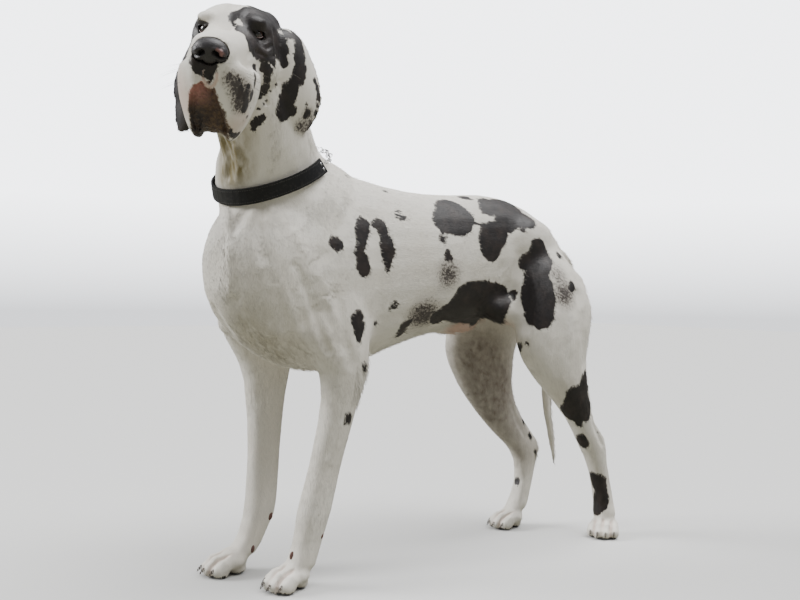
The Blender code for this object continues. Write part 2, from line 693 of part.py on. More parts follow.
def thinned(made, weights, wanted):
    """Brings the triangles that lie where weights are above 0 down to about the wanted number."""
    mesh = made.data
    counts = np.empty(len(mesh.polygons), np.int64)
    mesh.polygons.foreach_get("loop_total", counts)
    corners = np.empty(len(mesh.loops), np.int64)
    mesh.loops.foreach_get("vertex_index", corners)
    starts = np.r_[0, np.cumsum(counts)[:-1]]
    chosen = np.minimum.reduceat((weights[corners] > 0).astype(int), starts) > 0
    total, inside = (counts - 2).sum(), (counts - 2)[chosen].sum()
    if inside <= wanted:
        return
    group = made.vertex_groups.new(name="thin")
    group.add([int(k) for k in np.nonzero(weights > 0)[0]], 1.0, "REPLACE")
    fewer = made.modifiers.new("thin", "DECIMATE")
    fewer.ratio = 1 - (inside - wanted) / total
    fewer.use_collapse_triangulate = True
    fewer.vertex_group = "thin"
    apply_modifiers(made)
    made.vertex_groups.clear()


def box(name, centre, sizes, turn=None):
    work = bmesh.new()
    bmesh.ops.create_cube(work, size=1)
    made = bpy.data.objects.new(name, bpy.data.meshes.new(name))
    work.to_mesh(made.data)
    work.free()
    bpy.context.scene.collection.objects.link(made)
    spin = Matrix.Identity(4) if turn is None else turn.to_4x4()
    made.data.transform(Matrix.Translation(Vector(centre)) @ spin @ Matrix.Diagonal((*sizes, 1)))
    return made


def facing(normal):
    """A turn whose Z axis is the normal."""
    return Vector(normal).to_track_quat("Z", "Y").to_matrix()


# Level cuts: height, then the box of the ground that each reaches over, x from and to, y from and to
LEVEL_CUTS = (
    (0.452, -0.22, 0.22, -0.12, 0.26),  # elbows
    (0.105, -0.22, 0.22, -0.20, 0.22),  # forepaws
    (0.532, 0.012, 0.22, 0.56, 0.90),  # left thigh
    (0.532, -0.22, -0.010, 0.50, 0.862),
    (0.295, 0.030, 0.22, 0.66, 1.00),  # left gaskin
    (0.295, -0.22, -0.066, 0.60, 1.00),
    (0.095, -0.22, 0.22, 0.66, 1.05),  # hindpaws
    (0.712, -0.060, 0.050, 0.8595, 0.96),  # tail
)
# A place inside each part of the flesh
PARTS = {
    "torso": (0.02, 0.40, 0.70),
    "neck": (0.07, -0.02, 0.94),
    "head": (0.156, -0.135, 1.125),
    "tail": (-0.034, 0.890, 0.530),
    "foreleg_left": (0.104, 0.115, 0.317),
    "foreleg_right": (-0.103, 0.049, 0.293),
    "forepaw_left": (0.083, 0.03, 0.030),
    "forepaw_right": (-0.086, -0.045, 0.030),
    "thigh_left": (0.118, 0.772, 0.422),
    "thigh_right": (-0.119, 0.702, 0.425),
    "hindleg_left": (0.102, 0.912, 0.205),
    "hindleg_right": (-0.099, 0.836, 0.180),
    "hindpaw_left": (0.112, 0.930, 0.030),
    "hindpaw_right": (-0.091, 0.770, 0.030),
}


def neck_slabs():
    """Thin cuts behind the head and at the foot of the neck."""
    frame = head_frame()
    nape = facing(frame.to_3x3().normalized() @ Vector((0.85, 0, 0.525)))
    return [
        box("slab", frame @ Vector((-0.085, 0, -0.030)), (0.58, 0.58, GAP), nape),
        box("slab", (0.025, 0.015, 0.8425), (0.50, 0.50, GAP), facing((0.10, -0.48, 0.87))),
    ]


def level_slabs():
    """Thin level cuts through the legs and the root of the tail."""
    made = []
    for z, x0, x1, y0, y1 in LEVEL_CUTS:
        made.append(box("slab", ((x0 + x1) / 2, (y0 + y1) / 2, z), (x1 - x0, y1 - y0, GAP)))
    return made


def parted(body):
    """Splits the cut flesh into its loose parts and names each by the place it holds."""
    work = bmesh.new()
    work.from_mesh(body.data)
    work.verts.index_update()
    left, groups = set(work.verts), []
    while left:
        start = left.pop()
        group, edge = {start}, [start]
        while edge:
            for link in edge.pop().link_edges:
                for vert in link.verts:
                    if vert not in group:
                        group.add(vert)
                        edge.append(vert)
        left -= group
        groups.append({v.index for v in group})
    work.free()
    made = []
    for group in groups:
        copy = bmesh.new()
        copy.from_mesh(body.data)
        copy.verts.ensure_lookup_table()
        bmesh.ops.delete(copy, geom=[v for v in copy.verts if v.index not in group], context="VERTS")
        part = bpy.data.objects.new("part", bpy.data.meshes.new("part"))
        copy.to_mesh(part.data)
        copy.free()
        if len(part.data.vertices) < 20:
            bpy.data.objects.remove(part)
            continue
        bpy.context.scene.collection.objects.link(part)
        made.append(part)
    bpy.data.objects.remove(body)
    found = {}
    for name, place in PARTS.items():
        for part in made:
            tree = surface(part)
            crossings, start = 0, Vector(place)
            while (hit := tree.ray_cast(start, Vector((0.13, 0.71, 0.69)))[0]) is not None:
                crossings, start = crossings + 1, hit + Vector((0.13, 0.71, 0.69)) * 1e-5
            if crossings % 2:
                part.name = part.data.name = name
                found[name] = part
                break
    return found


COLLAR_CENTRE = Vector((0.050, 0.003, 0.897))
COLLAR_AXIS = Vector((0.294, -0.469, 1)).normalized()
COLLAR_WIDTH = 0.032
COLLAR_THICK = 0.004
COLLAR_OFF = 0.004  # between strap and flesh, where the coat lies


def collar(body):
    """A strap round the front and sides of the neck, and a chain behind it."""
    tree = surface(body)
    aim = Vector((0.62, -0.78, 0))  # towards the throat
    aim = (aim - COLLAR_AXIS * aim.dot(COLLAR_AXIS)).normalized()
    across = COLLAR_AXIS.cross(aim)  # towards the dog's left

    def radius(turn, level):
        out = aim * cos(turn) + across * sin(turn)
        start = COLLAR_CENTRE + COLLAR_AXIS * level
        return (tree.ray_cast(start, out)[0] - start).dot(out)

    turns = np.radians(np.arange(0, 360, 5))
    levels = (-COLLAR_WIDTH / 2, 0, COLLAR_WIDTH / 2)
    off = np.array([[radius(t, h) for h in levels] for t in turns])
    for _ in range(12):
        off = np.maximum(off, (np.roll(off, 1, 0) + np.roll(off, -1, 0)) / 2)
    off[:, 1] = np.maximum(off[:, 1], (off[:, 0] + off[:, 2]) / 2)
    for _ in range(2):
        off = (np.roll(off, 1, 0) + off * 2 + np.roll(off, -1, 0)) / 4

    def at(turn, level, out):
        r = np.interp(turn % (2 * pi), np.r_[turns, 2 * pi], np.r_[off[:, level], off[0, level]]) + out
        return COLLAR_CENTRE + COLLAR_AXIS * levels[level] + (aim * cos(turn) + across * sin(turn)) * r

    near, far = COLLAR_OFF, COLLAR_OFF + COLLAR_THICK
    rings = []
    for turn in np.radians(np.linspace(STRAP_FROM, STRAP_TO, 32)):
        rings.append([at(turn, h, near) for h in (0, 1, 2)] + [at(turn, h, far) for h in (2, 1, 0)])
    made = [skin_rings("collar_strap", rings)]
    path = [at(radians(t), 1, 0.0115) for t in np.arange(STRAP_TO, STRAP_FROM + 360 + 0.5, 1)]
    along = np.r_[0, np.cumsum([(b - a).length for a, b in zip(path, path[1:])])]
    count = int((along[-1] - 2 * LINK_START) // LINK_PITCH) + 1
    pitch = LINK_PITCH
    first = (along[-1] - pitch * (count - 1)) / 2

    def spot(s):
        return Vector([np.interp(s, along, [p[i] for p in path]) for i in range(3)])

    for k in range(count):
        s = first + k * pitch
        middle = spot(s)
        ahead = (spot(s + 0.004) - spot(s - 0.004)).normalized()
        out = middle - COLLAR_CENTRE
        out = (out - ahead * out.dot(ahead)).normalized()
        side = ahead.cross(out)
        flat, deep = (side, out) if k % 2 else (out, side)
        turn = Matrix((ahead, flat, deep)).transposed()
        made.append(link(f"chain_link_{k + 1:02d}", middle, turn))
    return made


STRAP_FROM, STRAP_TO = -112, 97  # degrees round from the throat, left above 0
LINK_PITCH = 0.0214
LINK_START = 0.0152  # from a strap's end to the middle of the first link
LINK_WIRE = 0.0018
LINK_HALF = (0.0128, 0.0066)  # of the wire's middle, along and across


def link(name, middle, turn):
    """An oval link of round wire, turned into place."""
    around, sides = 12, 4
    straight = LINK_HALF[0] - LINK_HALF[1]
    points, faces = [], []
    for i in range(around):
        t = 2 * pi * (i + 0.5) / around
        out = Vector((cos(t), sin(t), 0))
        centre = out * LINK_HALF[1] + Vector((straight if cos(t) > 0 else -straight, 0, 0))
        for k in range(sides):
            a = 2 * pi * k / sides
            wire = out * (LINK_WIRE * cos(a)) + Vector((0, 0, LINK_WIRE * sin(a)))
            points.append(middle + turn @ (centre + wire))
            here, after = i * sides, (i + 1) % around * sides
            faces.append((here + k, here + (k + 1) % sides, after + (k + 1) % sides, after + k))
    made = mesh_object(name, points, faces)
    outward(made)
    return made


MATERIALS = {
    "white_coat": ((0.62, 0.60, 0.56, 1), 0.7),
    "black_coat": ((0.02, 0.02, 0.022, 1), 0.5),
    "eye": ((0.05, 0.03, 0.02, 1), 0.1),
    "nose": ((0.02, 0.018, 0.02, 1), 0.35),
    "claw": ((0.20, 0.16, 0.13, 1), 0.4),
    "strap": ((0.015, 0.015, 0.015, 1), 0.5),
    "steel": ((0.55, 0.55, 0.56, 1), 0.3),
}


def paint(made, kind):
    shade = bpy.data.materials.new(made.name)
    shade.use_nodes = True
    colour, rough = MATERIALS[kind]
    principled = shade.node_tree.nodes["Principled BSDF"]
    principled.inputs["Base Color"].default_value = colour
    principled.inputs["Roughness"].default_value = rough
    if kind == "steel":
        principled.inputs["Metallic"].default_value = 1.0
    made.data.materials.clear()
    made.data.materials.append(shade)
    for face in made.data.polygons:
        face.use_smooth = True


def eyes(body):
    """Each eyeball, and its socket in the flesh."""
    made = []
    for side, name in ((1, "eye_left"), (-1, "eye_right")):
        centre = head_frame() @ Vector((EYE_PLACE[0], side * EYE_PLACE[1], EYE_PLACE[2]))
        cut(body, ball("socket", centre, EYE_RADIUS * HEAD_SCALE + GAP * 1.6))
        made.append(ball(name, centre, EYE_RADIUS * HEAD_SCALE))
    return made


def ball(name, centre, radius):
    work = bmesh.new()
    bmesh.ops.create_icosphere(work, subdivisions=3, radius=radius)
    made = bpy.data.objects.new(name, bpy.data.meshes.new(name))
    work.to_mesh(made.data)
    work.free()
    bpy.context.scene.collection.objects.link(made)
    made.data.transform(Matrix.Translation(centre))
    return made


def main():
    clear_scene()
    pieces = [trunk(), neck(), *muscles()]
    pieces.append(leg("foreleg_left", FORELEG_LEFT))
    pieces.append(leg("foreleg_right", FORELEG_RIGHT))
    pieces.append(leg("hindleg_left", HINDLEG_LEFT))
    pieces.append(leg("hindleg_right", HINDLEG_RIGHT))
    bulk = fuse("bulk", pieces, 0.008)
    relax(bulk, 70)
    pieces = [bulk, tail(), *head()]
    for name in PAWS:
        pieces += paw(name)
    body = fuse("body", pieces, VOXEL)
    where = places(body)
    hold = np.clip(1 - (near_head(where) - 0.16) / 0.10, 0, 0.75)
    hold = np.maximum(hold, np.clip(1 - (where[:, 2] - 0.06) / 0.08, 0, 0.85))
    relax(body, 60, hold)
    strokes(body, BODY_MARKS, sides=(1,))
    subdivided(body, lambda p: (p - head_middle()).length < 0.22 or p.z < 0.075)
    relax(body, 8)
    strokes(body, FACE_MARKS, frame=head_frame(), scale=HEAD_SCALE)
    balls = [head_frame() @ Vector((f, side * l, u)) for f, l, u in (EYE_PLACE,) for side in (1, -1)]
    subdivided(body, lambda p: min((p - e).length for e in balls) < 0.045)
    sculpt_eyes(body)
    relax(body, 1)

    where = places(body)
    face = near_head(where) < 0.215
    feet = where[:, 2] < 0.072
    thinned(body, (~face & ~feet).astype(float), 2600)
    where = places(body)
    thinned(body, (where[:, 2] < 0.085).astype(float), 1900)
    where = places(body)
    eye_zone = np.min([np.linalg.norm(where - np.array(e), axis=1) for e in balls], axis=0)
    thinned(body, ((near_head(where) < 0.22) & (eye_zone > 0.028)).astype(float), 2900)
    where = places(body)
    eye_zone = np.min([np.linalg.norm(where - np.array(e), axis=1) for e in balls], axis=0)
    thinned(body, (eye_zone < 0.034).astype(float), 1100)
    thinned(body, np.ones(len(body.data.vertices)), FLESH_TRIANGLES)

    done = {"collar": collar(body)}
    done["eye"] = eyes(body)
    done["nose"] = [nose(body)]
    done["ear"] = [ear("ear_left", 1, 0.0), ear("ear_right", -1, 0.038)]
    for leaf in done["ear"]:
        cut(body, swollen("pocket", leaf, 0.0012))
    done["claw"] = claws()
    for claw in done["claw"]:
        cut(body, swollen("pocket", claw, 0.0004))
    cut(body, box("ground", (0, 0.4, -0.05), (1.0, 2.0, 0.1)))
    for slab in neck_slabs():
        cut(body, slab)
    # The exact solver loses the flesh at a level cut, so these use the other one
    for slab in level_slabs():
        cut(body, slab, "MANIFOLD")
    parts = parted(body)
    for name, part in parts.items():
        paint(part, "white_coat")
    for leaf in done["ear"]:
        paint(leaf, "black_coat")
    for kind, list_of in (("eye", "eye"), ("nose", "nose"), ("claw", "claw")):
        for thing in done[list_of]:
            paint(thing, kind)
    paint(done["collar"][0], "strap")
    for thing in done["collar"][1:]:
        paint(thing, "steel")
    centred()


def centred():
    """Moves everything so that the middle of the whole dog's box stands on the origin."""
    shown = [o for o in bpy.data.objects if o.type == "MESH"]
    corners = np.vstack([places(o) for o in shown])
    low, high = corners.min(0), corners.max(0)
    shift = Vector((-(low[0] + high[0]) / 2, -(low[1] + high[1]) / 2, -low[2]))
    for thing in shown:
        thing.data.transform(Matrix.Translation(shift))
        thing.data.update()


main()
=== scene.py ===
from math import cos, radians, sin

import bmesh
import bpy
import numpy as np
from mathutils import Matrix, Vector
from mathutils.bvhtree import BVHTree


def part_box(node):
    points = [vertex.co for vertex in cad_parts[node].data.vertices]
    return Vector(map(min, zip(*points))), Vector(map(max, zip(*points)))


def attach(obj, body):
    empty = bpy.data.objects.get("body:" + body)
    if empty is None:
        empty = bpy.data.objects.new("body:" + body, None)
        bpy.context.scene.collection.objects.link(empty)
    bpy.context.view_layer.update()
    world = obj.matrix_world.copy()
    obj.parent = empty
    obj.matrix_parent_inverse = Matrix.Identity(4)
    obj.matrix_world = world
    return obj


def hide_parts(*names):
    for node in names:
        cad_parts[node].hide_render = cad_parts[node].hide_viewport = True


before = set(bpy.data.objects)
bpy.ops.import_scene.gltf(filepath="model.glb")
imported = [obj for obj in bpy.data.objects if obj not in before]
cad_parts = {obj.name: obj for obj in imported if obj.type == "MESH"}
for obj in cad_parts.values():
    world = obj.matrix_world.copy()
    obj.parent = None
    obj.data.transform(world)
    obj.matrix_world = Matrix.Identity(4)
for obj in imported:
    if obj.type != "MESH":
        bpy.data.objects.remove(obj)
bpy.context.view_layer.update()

# Stance: a heavy male great dane stands square on, his head up and turned to his left. Places are
# measured from the floor midway between his forefeet, x to his left, y to his tail, and on his head
# forward, left and up from the middle of the skull, for a head 0.365 long. Long lists are in mm.
HEAD_CENTRE = Vector((0.156, -0.135, 1.125))
HEAD_TURN, HEAD_NOD, HEAD_TIP, HEAD_SIZE = radians(58), radians(-16.5), radians(5), 1.122
EYE_PLACE = Vector((0.052, 0.042, 0.021))

ahead = Vector((sin(HEAD_TURN) * cos(HEAD_NOD), -cos(HEAD_TURN) * cos(HEAD_NOD), sin(HEAD_NOD)))
leftward = Vector((cos(HEAD_TURN), sin(HEAD_TURN), 0))
tip = Matrix.Rotation(-HEAD_TIP, 3, ahead)
head_turn = Matrix((ahead, tip @ leftward, tip @ ahead.cross(leftward))).transposed()
low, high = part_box("eye_left")
FEET = (Vector(low) + Vector(high)) / 2 - (HEAD_CENTRE + head_turn @ EYE_PLACE * HEAD_SIZE)
FEET.z = 0
head_frame = Matrix.Translation(HEAD_CENTRE + FEET) @ (head_turn * HEAD_SIZE).to_4x4()


# Camera: held at chest height, 2.4 m off the dog's left shoulder, level but for a slight roll,
# with a lens of 40.5 mm on a 36 mm frame.
CAMERA_PLACE = Vector((1.8346, -0.8138, 0.634))
CAMERA_LOOK, CAMERA_RIGHT = Vector((-0.84339, 0.53730, -0.00534)), Vector((0.53730, 0.84339, 0.01195))
camera = bpy.data.objects.new("camera", bpy.data.cameras.new("camera"))
bpy.context.scene.collection.objects.link(camera)
camera.data.lens = 40.5
camera.data.clip_start = 0.05
look, right = CAMERA_LOOK.normalized(), CAMERA_RIGHT.normalized()
right = (right - look * right.dot(look)).normalized()
turn = Matrix((right, right.cross(look), -look)).transposed()
camera.matrix_world = Matrix.Translation(CAMERA_PLACE + FEET) @ turn.to_4x4()
bpy.context.scene.camera = camera


# Skin: one hide over head, neck, trunk, legs, paws and tail, drawn from the solids, smoothed,
# and sunk by the depth of the coat. It is finest on the face and feet.
COAT_DEPTH, SWOLLEN = 0.0016, 0.0006
SKIN_VOXEL, COARSE_SHARE = 0.0036, 0.42
SHRINK_THEN_SWELL = (0.66, -0.667)
FINE_HEAD, FINE_REACH, FINE_FEET, FINE_FADE = (0.07, 0, -0.03), 0.235, 0.10, 0.04
FLESH = ("head neck torso tail ear_left ear_right foreleg_left foreleg_right forepaw_left forepaw_right "
         "thigh_left thigh_right hindleg_left hindleg_right hindpaw_left hindpaw_right").split()


def added(name, shape, stuff=None, smooth=True):
    """A new object in the scene from a mesh, or from a bmesh, which is freed."""
    if isinstance(shape, bmesh.types.BMesh):
        work, shape = shape, bpy.data.meshes.new(name)
        work.to_mesh(shape)
        work.free()
    shape.polygons.foreach_set("use_smooth", [smooth] * len(shape.polygons))
    if stuff:
        shape.materials.append(stuff)
    thing = bpy.data.objects.new(name, shape)
    bpy.context.scene.collection.objects.link(thing)
    return thing


def applied(thing):
    """Makes the thing's modifiers real."""
    bpy.context.view_layer.update()
    mesh = bpy.data.meshes.new_from_object(thing.evaluated_get(bpy.context.evaluated_depsgraph_get()))
    thing.modifiers.clear()
    thing.data = mesh


def fused(thing, voxel):
    remesh = thing.modifiers.new("fused", "REMESH")
    remesh.mode = "VOXEL"
    remesh.voxel_size = voxel
    remesh.use_smooth_shade = True
    applied(thing)


def places(thing):
    out = np.empty(len(thing.data.vertices) * 3)
    thing.data.vertices.foreach_get("co", out)
    return out.reshape(-1, 3)


def put(thing, where):
    thing.data.vertices.foreach_set("co", where.astype(np.float32).ravel())
    thing.data.update()


def normals(thing):
    out = np.empty(len(thing.data.vertices) * 3)
    thing.data.vertex_normals.foreach_get("vector", out)
    return out.reshape(-1, 3)


def clipped(values):
    return np.clip(values, 0, 1)


def away(where, spot=(0, 0, 0)):
    """How far each place is from a spot."""
    return np.linalg.norm(where - np.array(spot), axis=1)


def near_line(where, line):
    """How far each place is from a line of points."""
    best = np.full(len(where), 9.0)
    for a, b in zip(line, line[1:]):
        a, b = np.array(a), np.array(b)
        t = clipped(((where - a) @ (b - a)) / max((b - a) @ (b - a), 1e-12))[:, None]
        best = np.minimum(best, away(where - t * (b - a), a))
    return best


def relax(thing, rounds, amount=1):
    """Evens out facets without shrinking. amount is 0 to 1, for all or a vertex."""
    ends = np.empty(len(thing.data.edges) * 2, np.int64)
    thing.data.edges.foreach_get("vertices", ends)
    a, b = ends.reshape(-1, 2).T
    start, end = np.r_[a, b], np.r_[b, a]
    order = np.argsort(start, kind="stable")
    start, end = start[order], end[order]
    first = np.r_[0, np.flatnonzero(np.diff(start)) + 1]
    where = places(thing)
    count = np.bincount(start, minlength=len(where))[:, None]
    amount = np.full(len(where), amount, float) if np.isscalar(amount) else amount
    for k in range(2 * rounds):
        total = np.add.reduceat(where[end], first, axis=0)
        where += SHRINK_THEN_SWELL[k % 2] * amount[:, None] * (total / count - where)
    put(thing, where)


def subdivided(thing, chosen):
    """Halves the edges of the faces whose middles are chosen."""
    work = bmesh.new()
    work.from_mesh(thing.data)
    picked = chosen(np.array([f.calc_center_median() for f in work.faces]))
    edges = list({e for f, yes in zip(work.faces, picked) if yes for e in f.edges})
    bmesh.ops.subdivide_edges(work, edges=edges, cuts=1, use_grid_fill=True)
    bmesh.ops.triangulate(work, faces=[f for f in work.faces if len(f.verts) > 4])
    work.to_mesh(thing.data)
    work.free()


def in_head(where):
    """World places as places on the head."""
    back = np.array(head_frame.inverted())
    return where @ back[:3, :3].T + back[:3, 3]


gathered = bmesh.new()
for node in FLESH:
    gathered.from_mesh(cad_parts[node].data)
skin = added("skin", gathered)
put(skin, places(skin) + SWOLLEN * normals(skin))
fused(skin, SKIN_VOXEL)
where = places(skin)
fine = clipped((FINE_REACH - away(in_head(where), FINE_HEAD)) / FINE_FADE)
fine = np.maximum(fine, clipped((FINE_FEET - where[:, 2]) / FINE_FADE))
relax(skin, 10)
relax(skin, 90, 1 - fine)
plain = skin.vertex_groups.new(name="plain")
plain.add(np.flatnonzero(fine < 0.05).tolist(), 1.0, "REPLACE")
fewer = skin.modifiers.new("fewer", "DECIMATE")
fewer.ratio = COARSE_SHARE
fewer.vertex_group = "plain"
applied(skin)
put(skin, places(skin) - (COAT_DEPTH + SWOLLEN) * normals(skin))


# Fine form: the folds of the face, lids, lips, throat and muscles, pressed into the hide. Each mark
# is a depth, a reach and the points that it follows, in mm; a ridge has a depth below 0. The first
# list is on the head and is done on both its sides, the second is from the feet.
FACE_MARKS = (
    (2.2, 16, (100, 0, 32), (60, 0, 62), (-30, 0, 74)),
    (1.8, 6, (70, 11, 56), (34, 13, 72)),
    (1.6, 5, (66, 24, 52), (40, 30, 66)),
    (2, 12, (26, 72, 30), (30, 76, 8)),
    (2.2, 6, (78, 52, 8), (60, 62, 1), (44, 69, 6)),
    (1.6, 5, (88, 50, -4), (64, 64, -14), (40, 72, -10)),
    (2.2, 14, (85, 56, -6), (130, 50, -10)),
    (3.6, 4, (244, 0, -28), (241, 0, -46), (238, 0, -58)),
    (3, 7, (150, 29, -138), (110, 34, -126), (75, 46, -106)),
    (2.6, 6, (62, 66, -50), (50, 66, -82), (20, 60, -112)),
    (2.2, 5, (40, 74, -40), (26, 72, -76), (-2, 62, -110)),
    (3, 9, (-20, 76, -60), (-50, 66, -110), (-90, 60, -160)),
    (1.6, 6, (128, 56, -30), (118, 60, -70), (100, 56, -110)),
    (1.4, 5, (166, 58, -60), (154, 60, -95), (140, 52, -130)),
    (-1.6, 9, (205, 40, -120), (170, 48, -142), (130, 50, -140)),
)
BODY_MARKS = (
    (6, 15, (100, -140, 943), (101, -131, 924), (95, -124, 905), (85, -122, 875)),
    (-4.5, 13, (132, -122, 925), (122, -112, 895), (108, -112, 865)),
    (-5, 11, (65, -114, 810), (102, -126, 772), (123, -131, 720), (124, -131, 669), (118, -124, 633)),
    (5, 18, (119, -118, 625), (110, -100, 600), (95, -70, 550), (70, -34, 509)),
    (6, 22, (133, -65, 799), (150, -77, 761), (163, -77, 710)),
    (5, 16, (175, -9, 692), (172, 10, 658), (163, 36, 610), (163, 55, 558), (158, 75, 516)),
    (-4, 20, (150, -50, 690), (158, -20, 620), (150, 10, 560), (135, 40, 510)),
    (1.8, 7, (166, -65, 660), (168, -45, 657)),
    (-3, 14, (165, -12, 760), (170, 20, 710), (170, 50, 670), (164, 75, 615)),
    (3.4, 20, (168, 90, 640), (170, 110, 560), (160, 130, 490)),
    (3, 30, (150, 110, 800), (158, 80, 740), (166, 50, 700)),
    (-2.6, 20, (120, 130, 860), (140, 100, 800), (158, 70, 730)),
    (2.2, 12, (150, 90, 430), (143, 105, 360), (132, 92, 290)),
    (2, 10, (127, 125, 400), (127, 118, 320), (118, 110, 250)),
    (-2, 10, (105, 60, 360), (100, 55, 280), (100, 45, 200)),
    (2.2, 12, (-130, 30, 430), (-125, 45, 360), (-118, 40, 290)),
    (1.8, 10, (-88, 10, 400), (-85, 0, 320), (-84, -4, 240)),
    (1.6, 8, (128, 50, 210), (105, 25, 205), (85, 45, 208)),
    (1.6, 8, (-70, -10, 205), (-92, -35, 200), (-112, -15, 205)),
    (4, 30, (110, 590, 700), (118, 615, 630), (110, 620, 560)),
    (3.4, 24, (150, 790, 640), (160, 800, 560), (150, 815, 470)),
    (-3, 22, (150, 740, 660), (165, 740, 580), (160, 755, 500)),
    (3, 18, (150, 690, 520), (148, 720, 450), (140, 760, 390)),
    (4, 12, (148, 850, 350), (138, 880, 290), (128, 905, 250)),
    (4, 12, (90, 850, 350), (92, 880, 290), (98, 905, 250)),
    (4, 12, (-128, 775, 340), (-122, 805, 280), (-114, 825, 240)),
    (4, 12, (-75, 775, 340), (-80, 800, 280), (-86, 820, 240)),
    (3, 24, (-160, 740, 640), (-165, 745, 560), (-155, 755, 470)),
    (-7, 26, (8, 470, 560), (8, 540, 555), (6, 600, 548)),
    (-4, 16, (8, 440, 556), (8, 500, 548)),
)
# Each paw stands somewhere from the feet, turned by some degrees, at a size; grooves part its toes
PAWS = ((0.083, 0.020, 8, 1), (-0.086, -0.055, -6, 1), (0.116, 0.930, 38, 0.92), (-0.091, 0.763, -4, 0.92))
TOE_MARKS = (
    (4, 7, (0, -12, 50), (0, 22, 46), (0, 46, 28), (0, 52, 8)),
    (3.6, 6.5, (22, -16, 46), (22.5, 12, 42), (23.5, 34, 26), (24, 40, 8)),
    (3.6, 6.5, (-22, -16, 46), (-22.5, 12, 42), (-23.5, 34, 26), (-24, 40, 8)),
)
FACE, FACE_REACH, FEET_TOP = (0.09, 0, -0.04), 0.19, 0.062
LIDS, LIDS_REACH = (0.060, 0.050, 0.020), 0.036


def on_face_and_feet(middles):
    return (away(in_head(middles), FACE) < FACE_REACH) | (middles[:, 2] < FEET_TOP)


def round_eyes(middles):
    left, right = (away(in_head(middles), np.array(LIDS) * (1, side, 1)) for side in (1, -1))
    return np.minimum(left, right) < LIDS_REACH


def pressed(thing, marks, seen, size=1, sides=(1,)):
    """Presses marks into the thing. seen is where its points lie among the marks' own places, and
    size the marks' scale."""
    where, out = places(thing), normals(thing)
    for depth, reach, *points in marks:
        for side in sides:
            far = near_line(seen, np.array(points) * (1, side, 1) / 1000) / (reach / 1000)
            where -= out * (depth / 1000 * size * clipped(1 - far ** 2) ** 2)[:, None]
    put(thing, where)


def paw_frame(x, y, yaw, size):
    """Turns places on a paw (left, forward, up) into world places."""
    turn = Matrix.Rotation(radians(yaw), 4, "Z")
    return Matrix.Translation(FEET + Vector((x, y, 0))) @ turn @ Matrix.Diagonal((size, -size, size, 1))


subdivided(skin, on_face_and_feet)
subdivided(skin, round_eyes)
where = places(skin)
face = clipped((FACE_REACH + 0.02 - away(in_head(where), FACE)) / 0.02)
relax(skin, 3, np.maximum(face, clipped((FEET_TOP + 0.008 - where[:, 2]) / 0.01)))
between_toes = np.full(len(where), 0.2)
for paw in PAWS:
    back = np.array(paw_frame(*paw).inverted())
    on_paw = places(skin) @ back[:3, :3].T + back[:3, 3]
    pressed(skin, TOE_MARKS, on_paw, paw[3])
    for depth, reach, *points in TOE_MARKS:
        between_toes = np.minimum(between_toes, near_line(on_paw, np.array(points) / 1000))
pressed(skin, BODY_MARKS, places(skin) - np.array(FEET))
pressed(skin, FACE_MARKS, in_head(places(skin)), HEAD_SIZE, (1, -1))


# Mouth: below the nose the flews part over the chin in a wedge, whose inside is sunk, wet and
# wrinkled, under a small front lip with a pale rim. Each row of the wedge is a height, and a half
# width on his left and right, in mm: it hangs open wider on his right.
MOUTH_WEDGE = (
    (-50, 4, 10), (-58, 7, 24), (-72, 14, 31), (-90, 20, 33), (-112, 25, 33), (-125, 27, 33),
    (-140, 26, 32), (-200, 30, 34),
)
MOUTH_SUNK, WRINKLE_DEEP = 0.012, 0.0012
FRONT_LIP_MARKS = (
    (-2.2, 4.2, (236, -9, -36), (234, -9, -46), (230, -4, -56), (228, 2, -59), (230, 8, -55),
     (234, 12, -46), (236, 12, -38)),
    (2, 4.5, (235, 1, -40), (232, 1, -50)),
)


def from_front_lip(local):
    """How far each head place is from the pale rim of the front lip, seen from before the nose."""
    rim = np.array(FRONT_LIP_MARKS[0][2:]) * (0, 1, 1) / 1000
    return np.where((local[:, 0] > 0.20) & (away(local) < 0.30), near_line(local * (0, 1, 1), rim), 0.2)


def inside_mouth(local):
    """How far outside the mouth's wedge each head place is, in metres, and below 0 inside it."""
    ups, lefts, rights = np.array(MOUTH_WEDGE[::-1]).T / 1000
    left, up = local[:, 1], local[:, 2]
    half = np.where(left > 0, np.interp(up, ups, lefts), np.interp(up, ups, rights))
    half = np.where(up > ups[-1], ups[-1] - up, half)
    return np.where((local[:, 0] > 0.06) & (away(local) < 0.30), np.abs(left) - half, 0.2) * HEAD_SIZE


pressed(skin, FRONT_LIP_MARKS, in_head(places(skin)), HEAD_SIZE)
where = places(skin)
local = in_head(where)
mouth = clipped(-inside_mouth(local) / 0.008) * clipped((local[:, 0] - 0.13) / 0.03)
mouth *= clipped((from_front_lip(local) - 0.002) / 0.005)
wrinkles = WRINKLE_DEEP * np.sin(local[:, 2] * 900 + 30 * np.sin(local[:, 1] * 240)) * mouth
sunk = MOUTH_SUNK * mouth * mouth * (3 - 2 * mouth) + wrinkles
put(skin, where - np.array(ahead) * sunk[:, None])


